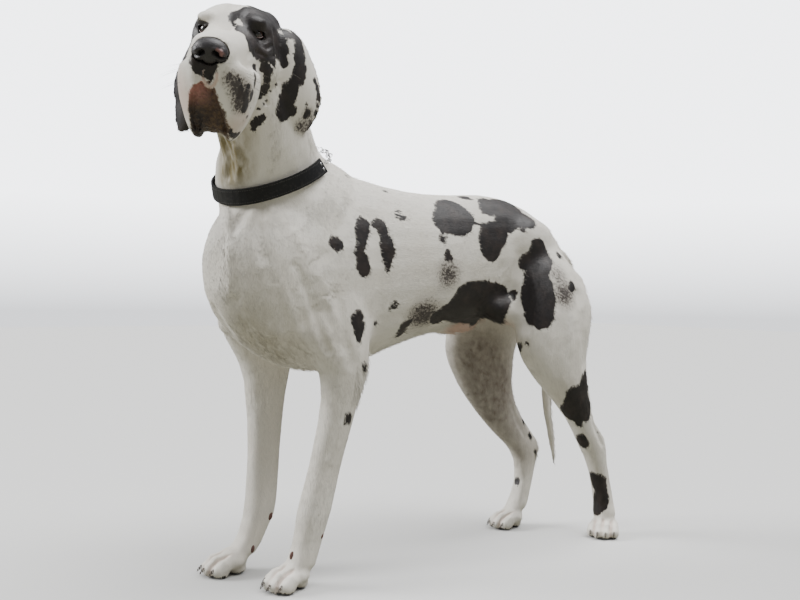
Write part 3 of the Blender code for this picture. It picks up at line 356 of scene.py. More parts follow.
# Lids: a ring of hide round each eyeball, with its free edge proud of the ball and a slit that is
# open wider below. Angles are degrees from the eye's own way out, and lengths are on the head.
EYE_BALL, EYE_OUT = 0.0118, radians(27)
SLIT_WIDE, SLIT_ABOVE, SLIT_BELOW = 40, 14, 22
LID_THICK, SOCKET_DEEP = 0.0022, 0.0060
where = places(skin)
local = in_head(where)
near = np.flatnonzero(away(local, (0.06, 0, 0.02)) < 0.11)
for side in (1, -1):
    v = local[near] - np.array(EYE_PLACE) * (1, side, 1)
    d = away(v)
    toward = v @ (cos(EYE_OUT), side * sin(EYE_OUT), 0.0)
    across = v @ (-sin(EYE_OUT), side * cos(EYE_OUT), 0.0)
    a = np.degrees(np.arctan2(across, toward))
    b = np.degrees(np.arctan2(v[:, 2], np.hypot(toward, across)))
    slits = np.hypot(a / SLIT_WIDE, np.where(b > 0, b / SLIT_ABOVE, b / SLIT_BELOW))
    lid = clipped((2.5 - slits) / 1.1) * clipped((0.036 - d) / 0.014) * (toward > 0)
    lid = lid * lid * (3 - 2 * lid)
    wanted = EYE_BALL + LID_THICK - SOCKET_DEEP * clipped((1.10 - slits) / 0.20)
    wanted += 0.007 * np.clip(slits - 1.35, 0, 2)
    local[near] += v / np.maximum(d, 1e-6)[:, None] * ((wanted - d) * lid)[:, None]
forth = np.array(head_frame)
where[near] = local[near] @ forth[:3, :3].T + forth[:3, 3]
put(skin, where)
relax(skin, 1, face)
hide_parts(*FLESH)
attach(skin, "root")


# Markings: a harlequin coat, white with torn black patches. Each patch is a chain of rounds of hair
# (x, y, z, radius), in mm from the feet.
PATCHES = {
    "stripe_before_shoulder": (
        (158, 159, 699, 17), (151, 160, 760, 17), (140, 169, 793, 15), (157, 152, 731, 14),
        (147, 163, 775, 17), (158, 161, 690, 17),
    ),
    "stripe_behind_shoulder": (
        (149, 228, 725, 15), (136, 214, 792, 14), (146, 224, 750, 13), (150, 224, 705, 10),
        (142, 222, 770, 10), (137, 199, 791, 7), (148, 228, 739, 15), (151, 224, 690, 5),
    ),
    "spot_withers": ((120, 275, 818, 11), (122, 276, 814, 11)),
    "saddle": (
        (101, 444, 822, 52), (111, 402, 810, 32), (129, 387, 766, 12), (96, 490, 823, 12),
        (89, 441, 840, 41),
    ),
    "croup": (
        (106, 548, 775, 40), (87, 611, 823, 32), (109, 546, 755, 36), (106, 679, 730, 16),
        (85, 648, 828, 20), (101, 571, 786, 31), (99, 656, 724, 13), (79, 605, 841, 27),
        (108, 684, 753, 13),
    ),
    "croup_front": ((38, 511, 880, 13), (43, 516, 877, 10)),
    "croup_top": (
        (57, 635, 864, 40), (65, 571, 862, 30), (81, 671, 834, 26), (78, 549, 847, 16),
        (92, 678, 824, 19),
    ),
    "spot_shoulder": ((162, 93, 744, 13), (162, 81, 747, 10), (163, 97, 735, 7)),
    "thigh": (
        (142, 671, 635, 46), (114, 695, 725, 38), (152, 668, 593, 39), (132, 676, 667, 36),
        (109, 696, 758, 24), (101, 661, 720, 18),
    ),
    "spot_rib": ((132, 407, 730, 12), (134, 397, 720, 7)),
    "flank": (
        (81, 534, 611, 66), (96, 483, 614, 60), (97, 404, 585, 26), (87, 592, 631, 34),
        (57, 572, 581, 46),
    ),
    "spot_low_rib": ((139, 254, 613, 9), (140, 243, 609, 7)),
    "arm": ((163, 148, 581, 16), (163, 151, 559, 13), (164, 148, 542, 9), (164, 143, 587, 13)),
    "belly_front": ((109, 309, 567, 12), (96, 295, 546, 13), (111, 294, 565, 9)),
    "gaskin": (
        (150, 800, 369, 37), (133, 793, 340, 30), (151, 828, 419, 30), (143, 846, 358, 19),
        (155, 775, 394, 16), (142, 843, 330, 11), (141, 827, 326, 10),
    ),
    "gaskin_low": ((116, 850, 254, 18), (132, 824, 307, 10), (117, 839, 270, 11)),
    "metatarsus": (
        (115, 921, 92, 22), (116, 912, 146, 22), (114, 918, 118, 19), (92, 917, 72, 20),
        (104, 902, 158, 15),
    ),
    "spot_forearm": ((144, 134, 368, 14),),
    "spot_rump": ((147, 776, 666, 11), (152, 768, 653, 8)),
    "spot_rump_high": ((109, 766, 740, 8),),
    "small_spots": (
        (79, 161, 899, 6), (90, 213, 871, 5), (74, 255, 875, 7), (74, 271, 872, 5), (139, 270, 765, 6),
        (144, 278, 739, 5), (122, 311, 807, 4), (135, 205, 571, 6), (107, 768, 743, 11),
        (100, 651, 802, 8), (87, 637, 642, 8), (93, 631, 629, 5), (156, 167, 481, 10),
        (133, 891, 282, 4), (134, 901, 260, 4), (82, 612, 644, 8), (104, 276, 842, 5),
        (99, 576, 680, 6), (112, 635, 510, 13), (138, 639, 517, 6), (-106, 641, 369, 4),
    ),
    "right_hock": ((-92, 803, 122, 11), (-100, 845, 215, 16), (-105, 835, 250, 14)),
    "right_heel_string": ((-78, 856, 205, 8), (-79, 838, 248, 10), (-88, 822, 290, 10)),
}
# The right side, which the photo doesn't show, has patches of the same kind. Seen flat on from
# there: along the dog and up, and a radius.
RIGHT_PATCHES = {
    "shoulder": ((85, 780, 40), (100, 735, 46), (120, 690, 36), (75, 700, 24)),
    "rib": ((270, 720, 30), (300, 690, 34), (335, 700, 22)),
    "back": ((420, 840, 46), (470, 850, 40), (450, 800, 30)),
    "loin": ((560, 740, 34), (600, 760, 30), (590, 710, 22)),
    "thigh": ((680, 690, 44), (720, 650, 40), (730, 600, 28), (690, 640, 26)),
    "belly": ((400, 590, 32), (440, 600, 36), (480, 610, 26)),
    "small": (
        (180, 800, 10), (200, 620, 14), (360, 770, 10), (390, 640, 8), (510, 700, 10), (640, 800, 14),
        (780, 660, 12), (230, 560, 8), (60, 600, 12), (330, 840, 9),
    ),
}
# On the head, in its own places: a black cap over the left eye and ear, streaks down the cheek, a
# torn patch on the flew, black below the nose, and spots. The small rounds have sharper joins.
HEAD_PATCHES = {
    "cap": (
        (67, 21, 47, 23), (52, 13, 56, 16), (41, 32, 58, 18), (24, 50, 54, 18), (-4, 62, 45, 17),
        (69, 43, 46, 27), (41, 62, 35, 25), (41, 51, 16, 29), (86, 48, 2, 19), (94, 40, 16, 16),
        (22, 71, 15, 24), (15, 78, -3, 17), (70, 60, -7, 16), (15, 88, -23, 9.1), (51, 70, -13, 14),
        (90, 28, 27, 16), (114, 41, 5, 10), (-9, 89, 28, 9.3), (-30, 94, 32, 7.5), (0, 45, 60, 30),
        (-35, 60, 48, 26), (-20, 28, 68, 18),
    ),
    "under_nose": (
        (233, -23, -22, 8), (234, -15, -25, 11), (226, -6, -26, 11), (223, 4, -24, 11),
        (221, 13, -18, 8.1), (234, 2, -37, 6.4), (234, 4, -47, 5.6), (234, -19, -35, 4.8),
    ),
    "ear_front": (
        (-20, 104, 21, 13), (-10, 110, 4, 13), (-4, 114, -12, 13), (1, 115, -29, 13),
        (8, 112, -46, 13), (15, 103, -63, 15), (18, 97, -79, 15), (20, 93, -96, 15),
        (23, 91, -108, 13), (15, 104, -103, 11),
    ),
    "right_eye": (
        (46, -59, 20, 13), (48, -65, 8, 11), (41, -52, 24, 9.1), (212, -34, 2, 6.5),
        (13, -72, 27, 9.3), (20, -70, 30, 22), (0, -72, 36, 18), (60, -46, 22, 17), (64, -44, 12, 14),
        (78, -50, 4, 11), (52, -40, 34, 12),
    ),
}
HEAD_SPOTS = {
    "streaks": (
        (94, 48, -32, 8.7), (165, 61, -40, 8.3), (172, 61, -52, 6.6), (178, 59, -65, 6.6),
        (181, 57, -76, 5), (66, 61, -29, 11), (61, 67, -35, 11), (58, 66, -49, 8.9), (49, 62, -63, 9),
        (43, 57, -74, 7.2), (45, 52, -83, 5.4),
    ),
    "flew_black": (
        (211, 47, -58, 6.5), (199, 52, -70, 8.2), (191, 53, -83, 8.2), (193, 49, -93, 6.6),
        (213, 43, -70, 4.9), (196, 55, -55, 4.9),
    ),
    "ear_edge": (
        (-24, 140, -49, 5.6), (-28, 146, -63, 6.6), (-28, 149, -78, 6.6), (-24, 148, -94, 5.6),
        (-22, 146, -105, 5.6),
    ),
    "ear_spots": ((0, 130, -91, 4.6), (-5, 134, -103, 5.6), (-2, 130, -112, 4.6)),
    "throat": ((45, 44, -129, 6.3), (45, 53, -123, 8.1), (43, 61, -117, 6.3), (44, 43, -138, 4.5)),
    "lip": ((198, 29, -128, 6), (188, 34, -134, 8), (174, 40, -136, 7)),
    "specks": (
        (36, 69, -70, 2.9), (28, 78, -59, 2.5), (42, 59, -94, 2.9), (46, 51, -102, 2.9),
        (38, 64, -87, 2.2), (51, 73, -41, 2.2), (182, 48, -110, 2.7), (171, 52, -104, 2.7),
        (216, 44, -44, 2.4), (166, 56, -91, 2.3),
    ),
}
HEAD_PALE = ((76, 13, 40, 5.5), (80, 19, 35, 4))
EAR_BLACK = ((-34, -94, 30, 55), (-10, -94, -20, 55), (0, -109, -80, 66), (0, -114, -140, 55))
# Smoky hair, painted greyish-brown shade inside the far hind leg and under the flank, thin hair over pink
# skin, hair stained yellow by the mouth, and painted olive shade on the brisket and in a fold of the breast
SMOKE = (
    (130, 405, 685, 30), (112, 360, 585, 34), (118, 330, 590, 26), (150, 745, 640, 30),
    (150, 735, 700, 22),
)
HEAD_SMOKE = (
    (229, 32, -43, 9.6), (219, 40, -52, 13), (210, 45, -67, 15), (196, 50, -83, 13),
    (208, 43, -83, 9.8), (197, 54, -61, 11), (0, 122, -131, 9.3), (-19, 134, -137, 9.4),
    (-19, 138, -127, 7.5), (-6, 135, -107, 9.3),
)
# Painted greyish-brown shade inside the far hind leg and under the flank
DUN_SHADE = (
    (-60, 700, 400, 105), (-80, 720, 330, 75), (-95, 770, 270, 45), (-84, 800, 205, 28),
    (-70, 660, 470, 95), (90, 500, 560, 35), (80, 560, 560, 35),
)
BARE = ((10, 560, 555, 60), (20, 520, 560, 50), (60, 620, 530, 40), (0, 640, 530, 50))
HEAD_BARE = ((205, -46, -85, 30), (200, -42, -55, 16), (196, 34, -116, 14), (180, 46, -112, 12))
STAINED = (
    (190, -150, 930, 40), (100, -140, 943, 30), (100, -131, 924, 34), (95, -124, 905, 32),
    (85, -122, 880, 28), (125, -115, 893, 20),
)
# Painted olive shade on the brisket and in a fold of the breast
BRISKET_SHADE = ((116, -92, 579, 30), (106, -50, 537, 35), (90, -10, 510, 35), (133, -65, 799, 12))
NO_MARK = 0.2
PAD_TOP = 0.006
LIP_RIM, FRONT_LIP_RIM = 0.0024, 0.0026


def rounds(where, balls, blend=0.007):
    """How far outside a chain of balls each place is, below 0 inside, with the joins filled."""
    total = np.zeros(len(where))
    for x, y, z, r in np.array(balls) / 1000:
        total += np.exp(-(away(where, (x, y, z)) - r) / blend)
    return -blend * np.log(np.maximum(total, 1e-12))


def soft(where, balls, blend, spread, most=1, middle=0.5):
    """1 inside a chain of balls, fading to 0 outside."""
    return np.clip(middle - rounds(where, balls, blend) / spread, 0, most)


def kept(thing, name, values):
    """Stores one number or one place a vertex, for the material to read."""
    kind = "FLOAT" if values.ndim == 1 else "FLOAT_VECTOR"
    field = thing.data.attributes.new(name, kind, "POINT")
    field.data.foreach_set("value" if values.ndim == 1 else "vector", values.astype(np.float32).ravel())


where, out = places(skin), normals(skin)
stance, local = where - np.array(FEET), in_head(where)
forward, left, up = local.T
mark = np.full(len(where), NO_MARK)
for balls in PATCHES.values():
    mark = np.minimum(mark, rounds(stance, balls))
for balls in RIGHT_PATCHES.values():
    seen = rounds(stance * (0, 1, 1), [(0, *ball) for ball in balls])
    mark = np.minimum(mark, np.where((stance[:, 0] < -0.02) & (forward < -0.25), seen, NO_MARK))
for blend, patches in ((0.004, HEAD_PATCHES), (0.0025, HEAD_SPOTS)):
    for balls in patches.values():
        mark = np.minimum(mark, rounds(local, balls, blend) * HEAD_SIZE)
right_ear = (left < -0.066) & (forward < 0.04) & (up < 0.035) & (away(local) < 0.3)
mark = np.where(right_ear, np.minimum(mark, rounds(local, EAR_BLACK)), mark)
front_lip = from_front_lip(local)
mark = np.maximum(mark, (LIP_RIM - front_lip) * HEAD_SIZE)
mark = np.maximum(mark, -rounds(local, HEAD_PALE, 0.002) * HEAD_SIZE)
mark = np.minimum(mark, stance[:, 2] - PAD_TOP)
smoke = np.maximum(soft(stance, SMOKE, 0.012, 0.05), soft(local, HEAD_SMOKE, 0.006, 0.020, 1.25))
bare = soft(stance, BARE, 0.012, 0.04) * clipped(-out[:, 2] * 1.5 + 0.3)
bare = np.maximum(bare, 0.6 * soft(local, HEAD_BARE, 0.006, 0.030))
bare = np.maximum(bare, 0.8 * clipped(1.6 - front_lip / LIP_RIM))
bare = np.maximum(bare, 0.45 * clipped(1.3 - between_toes / 0.006))
lips = np.maximum(inside_mouth(local) - 0.0015, (FRONT_LIP_RIM - front_lip) * HEAD_SIZE)
pink = clipped((up + 0.096) / 0.030) * np.clip((0.006 - left) / 0.022, 0.1, 1)
gape = clipped((-0.080 - up) / 0.030) * np.clip((0.004 - left) / 0.020, 0.05, 1)
# Painted shade, greyish-brown, inside the far hind leg and under the flank
dun_shade = soft(stance, DUN_SHADE, 0.012, 0.10)
# The mouth's yellow stain and the painted shade on the brisket share one field.
stain_and_shade = np.maximum(soft(stance, STAINED, 0.012, 0.035, 1, 0.6), 0.55 * soft(stance, BRISKET_SHADE, 0.012, 0.09))
fields = {"mark": mark, "smoke": smoke, "bare": bare, "lips": lips, "stain_and_shade": stain_and_shade,
          "maw_and_shade": np.c_[pink, gape, dun_shade]}
for name, values in fields.items():
    kept(skin, name, values)
kept(skin, "root", where)


# Lie of the coat: back and down from the nose and the withers, down the legs, ears and tail.
# Each line is a place, the way the hair lies there, and how far that reaches.
LIES = (
    ((0.00, 0.35, 0.75), (0, 1.0, -0.22), 0.30), ((0.00, 0.60, 0.75), (0, 1.0, -0.25), 0.25),
    ((0.10, -0.02, 0.85), (-0.15, 0.55, -0.85), 0.16), ((0.05, -0.12, 0.70), (0, 0.20, -1.0), 0.16),
    ((0.08, 0.05, 0.60), (0, 0.45, -0.85), 0.16), ((-0.08, 0.00, 0.60), (0, 0.45, -0.85), 0.16),
    ((0.09, 0.08, 0.25), (0, 0.12, -1.0), 0.22), ((-0.09, 0.00, 0.25), (0, 0.12, -1.0), 0.22),
    ((0.11, 0.74, 0.60), (0, 0.55, -0.85), 0.16), ((-0.11, 0.70, 0.60), (0, 0.55, -0.85), 0.16),
    ((0.12, 0.84, 0.30), (0, 0.25, -1.0), 0.20), ((-0.10, 0.76, 0.30), (0, 0.25, -1.0), 0.20),
    ((0.02, 0.88, 0.45), (0, 0.10, -1.0), 0.12), ((0.02, 0.80, 0.85), (0, 0.8, -0.6), 0.12),
)
# The same on the head, where it counts for more
HEAD_LIES = (
    ((0.15, 0, 0.02), (-1, 0, 0.15), 0.07), ((0.05, 0, 0.07), (-1, 0, 0.1), 0.07),
    ((-0.05, 0, 0.06), (-1, 0, -0.2), 0.08), ((0.15, 0.06, -0.08), (-0.55, 0, -0.85), 0.06),
    ((0.15, -0.06, -0.08), (-0.55, 0, -0.85), 0.06), ((0.03, 0.075, -0.02), (-0.9, 0, -0.5), 0.06),
    ((0.03, -0.075, -0.02), (-0.9, 0, -0.5), 0.06), ((0.0, 0.05, -0.12), (-0.7, 0, -0.8), 0.08),
    ((0.0, -0.05, -0.12), (-0.7, 0, -0.8), 0.08), ((-0.01, 0.115, -0.08), (0.05, 0, -1), 0.07),
    ((-0.01, -0.105, -0.08), (0.05, 0, -1), 0.07),
)
HEAD_COUNTS = 6
lie = np.zeros((len(where), 3))
for seen, lines, turn, counts in (
    (stance, LIES, Matrix.Identity(3), 1), (local, HEAD_LIES, head_turn, HEAD_COUNTS),
):
    for spot, way, reach in lines:
        way = np.array(turn @ Vector(way).normalized())
        lie += counts * np.exp(-(away(seen, spot) / reach) ** 2)[:, None] * way
lie -= out * (lie * out).sum(1, keepdims=True)
lie /= np.maximum(away(lie)[:, None], 1e-9)
kept(skin, "lie", np.abs(lie))
kept(skin, "tone", np.full(len(where), 0.5))


# Coat material: short glossy hair, warm white and near-black, torn where the colours meet, smoky in
# places, thin over the belly's pink skin, stained under the mouth, with painted shade inside the far
# hind leg, under the flank and on the brisket. Skin and hair share it.
WHITE_HAIR = ((0.75, 0.70, 0.61), (0.86, 0.835, 0.78))
BLACK_HAIR = ((0.013, 0.010, 0.010), (0.034, 0.024, 0.021))
SMOKE_UNDER, SMOKE_TICKS = (0.25, 0.21, 0.18), (0.065, 0.055, 0.050)
# The first colour here is painted shade, and the second is both the mouth's stain and painted shade.
DUN_SHADE_HAIR, STAIN_AND_SHADE_HAIR, BARE_SKIN = (0.200, 0.165, 0.140), (0.205, 0.165, 0.070), (0.56, 0.35, 0.27)
MOUTH_BROWN, MOUTH_PINK = ((0.115, 0.070, 0.035), (0.050, 0.028, 0.022)), (0.42, 0.19, 0.16)
MOUTH_DARK = (0.016, 0.010, 0.011)


def painted(name):
    """A new material, its nodes and its shader."""
    stuff = bpy.data.materials.new(name)
    stuff.use_nodes = True
    return stuff, stuff.node_tree, stuff.node_tree.nodes["Principled BSDF"]


def noded(tree, kind, *values, **settings):
    """A node with its settings, and its inputs set or linked in order. None leaves one as it is."""
    node = tree.nodes.new("ShaderNode" + kind)
    for name, value in settings.items():
        setattr(node, name, value)
    for socket, value in zip(node.inputs, values):
        if isinstance(value, bpy.types.NodeSocket):
            tree.links.new(value, socket)
        elif value is not None:
            socket.default_value = value
    return node.outputs[0]


def maths(how, a, b=None, c=None, clamp=False):
    return noded(a.id_data, "Math", a, b, c, operation=how, use_clamp=clamp)


def times(a, b, clamp=False):
    return maths("MULTIPLY", a, b, clamp=clamp)


def plus(a, b):
    return maths("ADD", a, b)


def ramped(value, low, high, to_low=0.0, to_high=1.0):
    return noded(value.id_data, "MapRange", value, low, high, to_low, to_high)


def blended(share, a, b):
    """Colour a turning into colour b as share goes from 0 to 1."""
    colours = [value if isinstance(value, bpy.types.NodeSocket) else (*value, 1) for value in (a, b)]
    return noded(share.id_data, "Mix", share, *[None] * 5, *colours, data_type="RGBA").node.outputs[2]


grain_of = bpy.data.node_groups.new("grain", "ShaderNodeTree")
for name, kind in (("Place", "Vector"), ("Size", "Float"), ("Detail", "Float"), ("Stretch", "Vector")):
    grain_of.interface.new_socket(name, in_out="INPUT", socket_type="NodeSocket" + kind)
grain_of.interface.new_socket("Grain", in_out="OUTPUT", socket_type="NodeSocketFloat")
given = grain_of.nodes.new("NodeGroupInput")
drawn = noded(grain_of, "VectorMath", given.outputs["Place"], given.outputs["Stretch"], operation="DIVIDE")
fineness = noded(grain_of, "Math", 1.0, given.outputs["Size"], operation="DIVIDE")
noise = noded(grain_of, "TexNoise", drawn, None, fineness, given.outputs["Detail"])
grain_of.links.new(noise, grain_of.nodes.new("NodeGroupOutput").inputs["Grain"])


def speckle(where, size, detail=2.0, stretch=(1, 1, 1)):
    """Noise of about 0 to 1, its grain so many metres across, drawn out by stretch."""
    return noded(where.id_data, "Group", where, size, detail, stretch, node_tree=grain_of)


def field(tree, name, vector=False):
    node = tree.nodes.new("ShaderNodeAttribute")
    node.attribute_name = name
    return node.outputs[1 if vector else 2]


def parts_of(vector):
    return noded(vector.id_data, "SeparateXYZ", vector).node.outputs


def surfaced(shader, colour, rough=None):
    shader.id_data.links.new(colour, shader.inputs["Base Color"])
    if rough:
        shader.id_data.links.new(rough, shader.inputs["Roughness"])


def bumped(shader, height, strength, depth, inward=False):
    """Raises the shader's surface by height, or sinks it, depth metres at most."""
    bump = noded(shader.id_data, "Bump", strength, depth, invert=inward)
    shader.id_data.links.new(height, bump.node.inputs["Height"])
    shader.id_data.links.new(bump, shader.inputs["Normal"])


coat, tree, hair = painted("harlequin_coat")
root = field(tree, "root", True)
smoky = field(tree, "smoke")
torn = times(maths("SUBTRACT", speckle(root, 0.016, 3), 0.5), 0.016)
torn = plus(torn, times(maths("SUBTRACT", speckle(root, 0.0035, 2), 0.5), 0.008))
black = ramped(plus(field(tree, "mark"), torn), 0.0012, -0.0012)
ticked = ramped(plus(speckle(root, 0.0045, 3), times(smoky, 0.42)), 0.66, 0.86)
ticked = times(ticked, times(smoky, 1.6, True))
colour = blended(speckle(root, 0.11, 3), *WHITE_HAIR)
colour = blended(ramped(smoky, 0.1, 1.0, 0.0, 0.80), colour, SMOKE_UNDER)
# Mouth pinkness, mouth darkness, and a share of painted shade
pink_share, dark_share, dun_shade_share = parts_of(field(tree, "maw_and_shade", True))
patchy = ramped(speckle(root, 0.014, 4), 0.25, 0.75, 0.62, 1.05)
# Painted shade: greyish-brown inside the far hind leg and under the flank
colour = blended(times(dun_shade_share, patchy, True), colour, DUN_SHADE_HAIR)
streaky = ramped(speckle(root, 0.012, 2, (1, 1, 6)), 0.0, 0.60)
# The mouth's yellow stain, and painted olive shade on the brisket
colour = blended(times(field(tree, "stain_and_shade"), streaky), colour, STAIN_AND_SHADE_HAIR)
colour = blended(times(field(tree, "bare"), 0.8), colour, BARE_SKIN)
colour = blended(ticked, colour, SMOKE_TICKS)
dark = blended(ramped(speckle(root, 0.03, 2), 0.45, 0.75), *BLACK_HAIR)
colour = blended(black, colour, dark)
wrinkled = speckle(root, 0.007, 3)
mouth = blended(ramped(wrinkled, 0.35, 0.65), *MOUTH_BROWN)
mouth = blended(times(pink_share, ramped(wrinkled, 0.30, 0.60, 0.55, 1)), mouth, MOUTH_PINK)
mouth = blended(times(dark_share, ramped(wrinkled, 0.30, 0.60, 0.6, 1)), mouth, MOUTH_DARK)
wet = ramped(plus(field(tree, "lips"), torn), 0.002, -0.002)
colour = blended(wet, colour, mouth)
tone = ramped(field(tree, "tone"), 0, 1, 0.86, 1.10)
colour = noded(tree, "VectorMath", colour, tone, operation="MULTIPLY")
surfaced(hair, colour, maths("SUBTRACT", ramped(black, 0, 1, 0.62, 0.46), times(wet, 0.22)))
hair.inputs["Specular IOR Level"].default_value = 0.42
hair.inputs["Sheen Weight"].default_value = 0.05
hair.inputs["Sheen Roughness"].default_value = 0.45
height = 0.0
for way, stretch in zip(parts_of(field(tree, "lie", True)), ((9, 1, 1), (1, 9, 1), (1, 1, 9))):
    strands = plus(speckle(root, 0.0015, 2, stretch), speckle(root, 0.005, 2, stretch))
    height = plus(times(strands, maths("POWER", way, 2.0)), height)
bumped(hair, height, 0.55, 0.0011)
skin.data.materials.clear()
skin.data.materials.append(coat)


# Coat relief: short closed wisps of hair, sunk at the root, lying over one another down the lie of
# the coat. Each takes its root's place and markings, so that a patch's edge is torn as hair tears it,
# and has a patch of the map OFBake, at its root's place on an unwrap of the skin.
TUFT_SEED = 11
PATCH_SPAN = 0.003
ROOT_DEEP, ABOVE_FLOOR, SOLE = 0.0005, 0.0003, 0.004
TURN_SPREAD, BOW_SPREAD = 0.17, 0.10
SHORT_WISPS, LONG_WISPS = ((40000, 12000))
SHORT, LONG = (0.0085, 0.0045), (0.0170, 0.0075)
NARROW = (0.0016, 0.0010)
LIPS_BARE, EYES_BARE, SPIRAL_STEP = 0.004, 0.014, 2.4
NAPE, HEAD_REACH, LEG_TOP, NECK_BACK, LEGS_PARTED, SPINE = -0.13, 0.26, 0.46, 0.10, 0.4, 0.01

skin.data.uv_layers.new(name="OFBake")
bpy.context.view_layer.objects.active = skin
skin.select_set(True)
bpy.ops.object.mode_set(mode="EDIT")
bpy.ops.mesh.select_all(action="SELECT")
bpy.ops.uv.smart_project(angle_limit=radians(66), island_margin=0.002)
bpy.ops.object.mode_set(mode="OBJECT")
skin.select_set(False)


def read(items, key, width, kind):
    """One property of many items, in rows of some width."""
    values = np.empty(len(items) * width, kind)
    items.foreach_get(key, values)
    return values.reshape(-1, width)


mesh = skin.data
mesh.calc_loop_triangles()
corners = read(mesh.loop_triangles, "vertices", 3, np.int32)
loops = read(mesh.loop_triangles, "loops", 3, np.int32)
flat = read(mesh.uv_layers["OFBake"].data, "uv", 2, np.float32)
a, b, c = (where[corners[:, k]] for k in range(3))
area = away(np.cross(b - a, c - a)) / 2
# 1 where the hair is as short as on the face and feet, and 0 on the body
small = clipped((0.25 - away(local, (0.12, 0, -0.05))) / 0.16)
small = np.maximum(small, clipped((0.14 - stance[:, 2]) / 0.10))
small = np.maximum(small, 0.75 * (away(local) < 0.26))


def grown(name, weight, count, rows, long, wide, lift, seed):
    """Wisps over the skin where weight is above 0. long, wide and lift are pairs: on the body, and on
    the face and feet."""
    rng = np.random.default_rng(seed)
    chance = area * weight[corners].mean(1)
    chosen = rng.choice(len(corners), count, p=chance / chance.sum())
    share = rng.random((count, 2))
    share = np.where(share.sum(1, keepdims=True) > 1, 1 - share, share)
    share = np.c_[share, 1 - share.sum(1)]
    tri = corners[chosen]

    def here(field):
        return (field[tri] * share.reshape(count, 3, *[1] * (field.ndim - 1))).sum(1)

    root, up, ahead, tiny = here(where), here(out), here(lie), here(small)
    up /= away(up)[:, None]
    yaw = rng.normal(0, TURN_SPREAD, count)[:, None]
    ahead -= up * (ahead * up).sum(1, keepdims=True)
    ahead /= np.maximum(away(ahead)[:, None], 1e-9)
    ahead = ahead * np.cos(yaw) + np.cross(up, ahead) * np.sin(yaw)
    side = np.cross(up, ahead)

    def sized(pair, spread):
        return ((pair[0] + (pair[1] - pair[0]) * tiny) * rng.uniform(1 - spread, 1 + spread, count))[:, None]

    length, width, angle = sized(long, 0.3), sized(wide, 0.25), np.radians(sized(lift, 0.5))
    bow = rng.normal(0, BOW_SPREAD, count)[:, None]

    def along(t):
        """The wisp's middle line, rising less towards the tip, which is bowed to a side."""
        forth, rise = ahead * np.cos(angle) * t, up * np.sin(angle) * t * (1.35 - 0.35 * t)
        return root - up * ROOT_DEEP + length * (forth + rise + side * bow * t * t)

    points = []
    for t in np.arange(rows) / rows:
        half = width / 2 * (1 - 0.55 * t)
        points += [along(t) - side * half, along(t) + side * half, along(t) + up * (half * 0.7)]
    points = np.stack([*points, along(1)], 1)
    points[:, :, 2] = np.maximum(points[:, :, 2], ABOVE_FLOOR)
    faces = [(0, 1, 2)]
    for a in range(0, 3 * rows - 3, 3):
        for i, j in ((0, 2), (2, 1), (1, 0)):
            faces += [(a + i, a + j, a + 3 + j), (a + i, a + 3 + j, a + 3 + i)]
    a = 3 * (rows - 1)
    faces += [(a, a + 2, a + 3), (a + 2, a + 1, a + 3), (a + 1, a, a + 3)]
    faces = np.array(faces)[:, ::-1]
    n, per = points.shape[1], len(faces)
    spots = (faces[None] + (np.arange(count) * n)[:, None, None]).reshape(-1)
    hairs = bpy.data.meshes.new(name)
    hairs.vertices.add(count * n)
    hairs.vertices.foreach_set("co", points.astype(np.float32).ravel())
    hairs.loops.add(len(spots))
    hairs.loops.foreach_set("vertex_index", spots.astype(np.int32))
    hairs.polygons.add(count * per)
    hairs.polygons.foreach_set("loop_start", np.arange(0, len(spots), 3, dtype=np.int32))
    hairs.update(calc_edges=True)
    thing = added(name, hairs, coat)
    middle = (flat[loops[chosen]] * share[:, :, None]).sum(1)
    turns = np.arange(n) * SPIRAL_STEP
    spread = np.c_[np.cos(turns), np.sin(turns)] * PATCH_SPAN / 2
    patch = (middle[:, None] + spread[None]).reshape(-1, 2)[spots]
    hairs.uv_layers.new(name="OFBake").data.foreach_set("uv", patch.astype(np.float32).ravel())
    hairs.normals_split_custom_set_from_vertices(np.repeat(up, n, 0).astype(np.float32))
    carried = {label: here(values) for label, values in fields.items()}
    carried |= {"root": root, "lie": np.abs(ahead), "tone": rng.random(count)}
    for label, values in carried.items():
        kept(thing, label, np.repeat(values, n, 0))
    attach(thing, "root")


open_skin = (lips > LIPS_BARE) & (stance[:, 2] > SOLE)
for side in (1, -1):
    open_skin &= away(local, np.array(EYE_PLACE) * (1, side, 1)) > EYES_BARE
on_head = (forward > NAPE) & (away(local, (0.05, 0, -0.03)) < HEAD_REACH)
low_leg = stance[:, 2] < LEG_TOP
front = ~on_head & ~low_leg & (stance[:, 1] < NECK_BACK)
trunk = ~on_head & ~low_leg & ~front
regions = {
    "coat_head": on_head, "coat_neck": front,
    "coat_trunk_left": trunk & (stance[:, 0] > SPINE),
    "coat_trunk_right": trunk & (stance[:, 0] <= SPINE),
    "coat_forelegs": low_leg & (stance[:, 1] < LEGS_PARTED),
    "coat_hindlegs": low_leg & (stance[:, 1] >= LEGS_PARTED),
}
for k, (name, region) in enumerate(regions.items()):
    grown(name, (region & open_skin).astype(float), SHORT_WISPS, 1, SHORT, NARROW, (6, 6), TUFT_SEED + k)

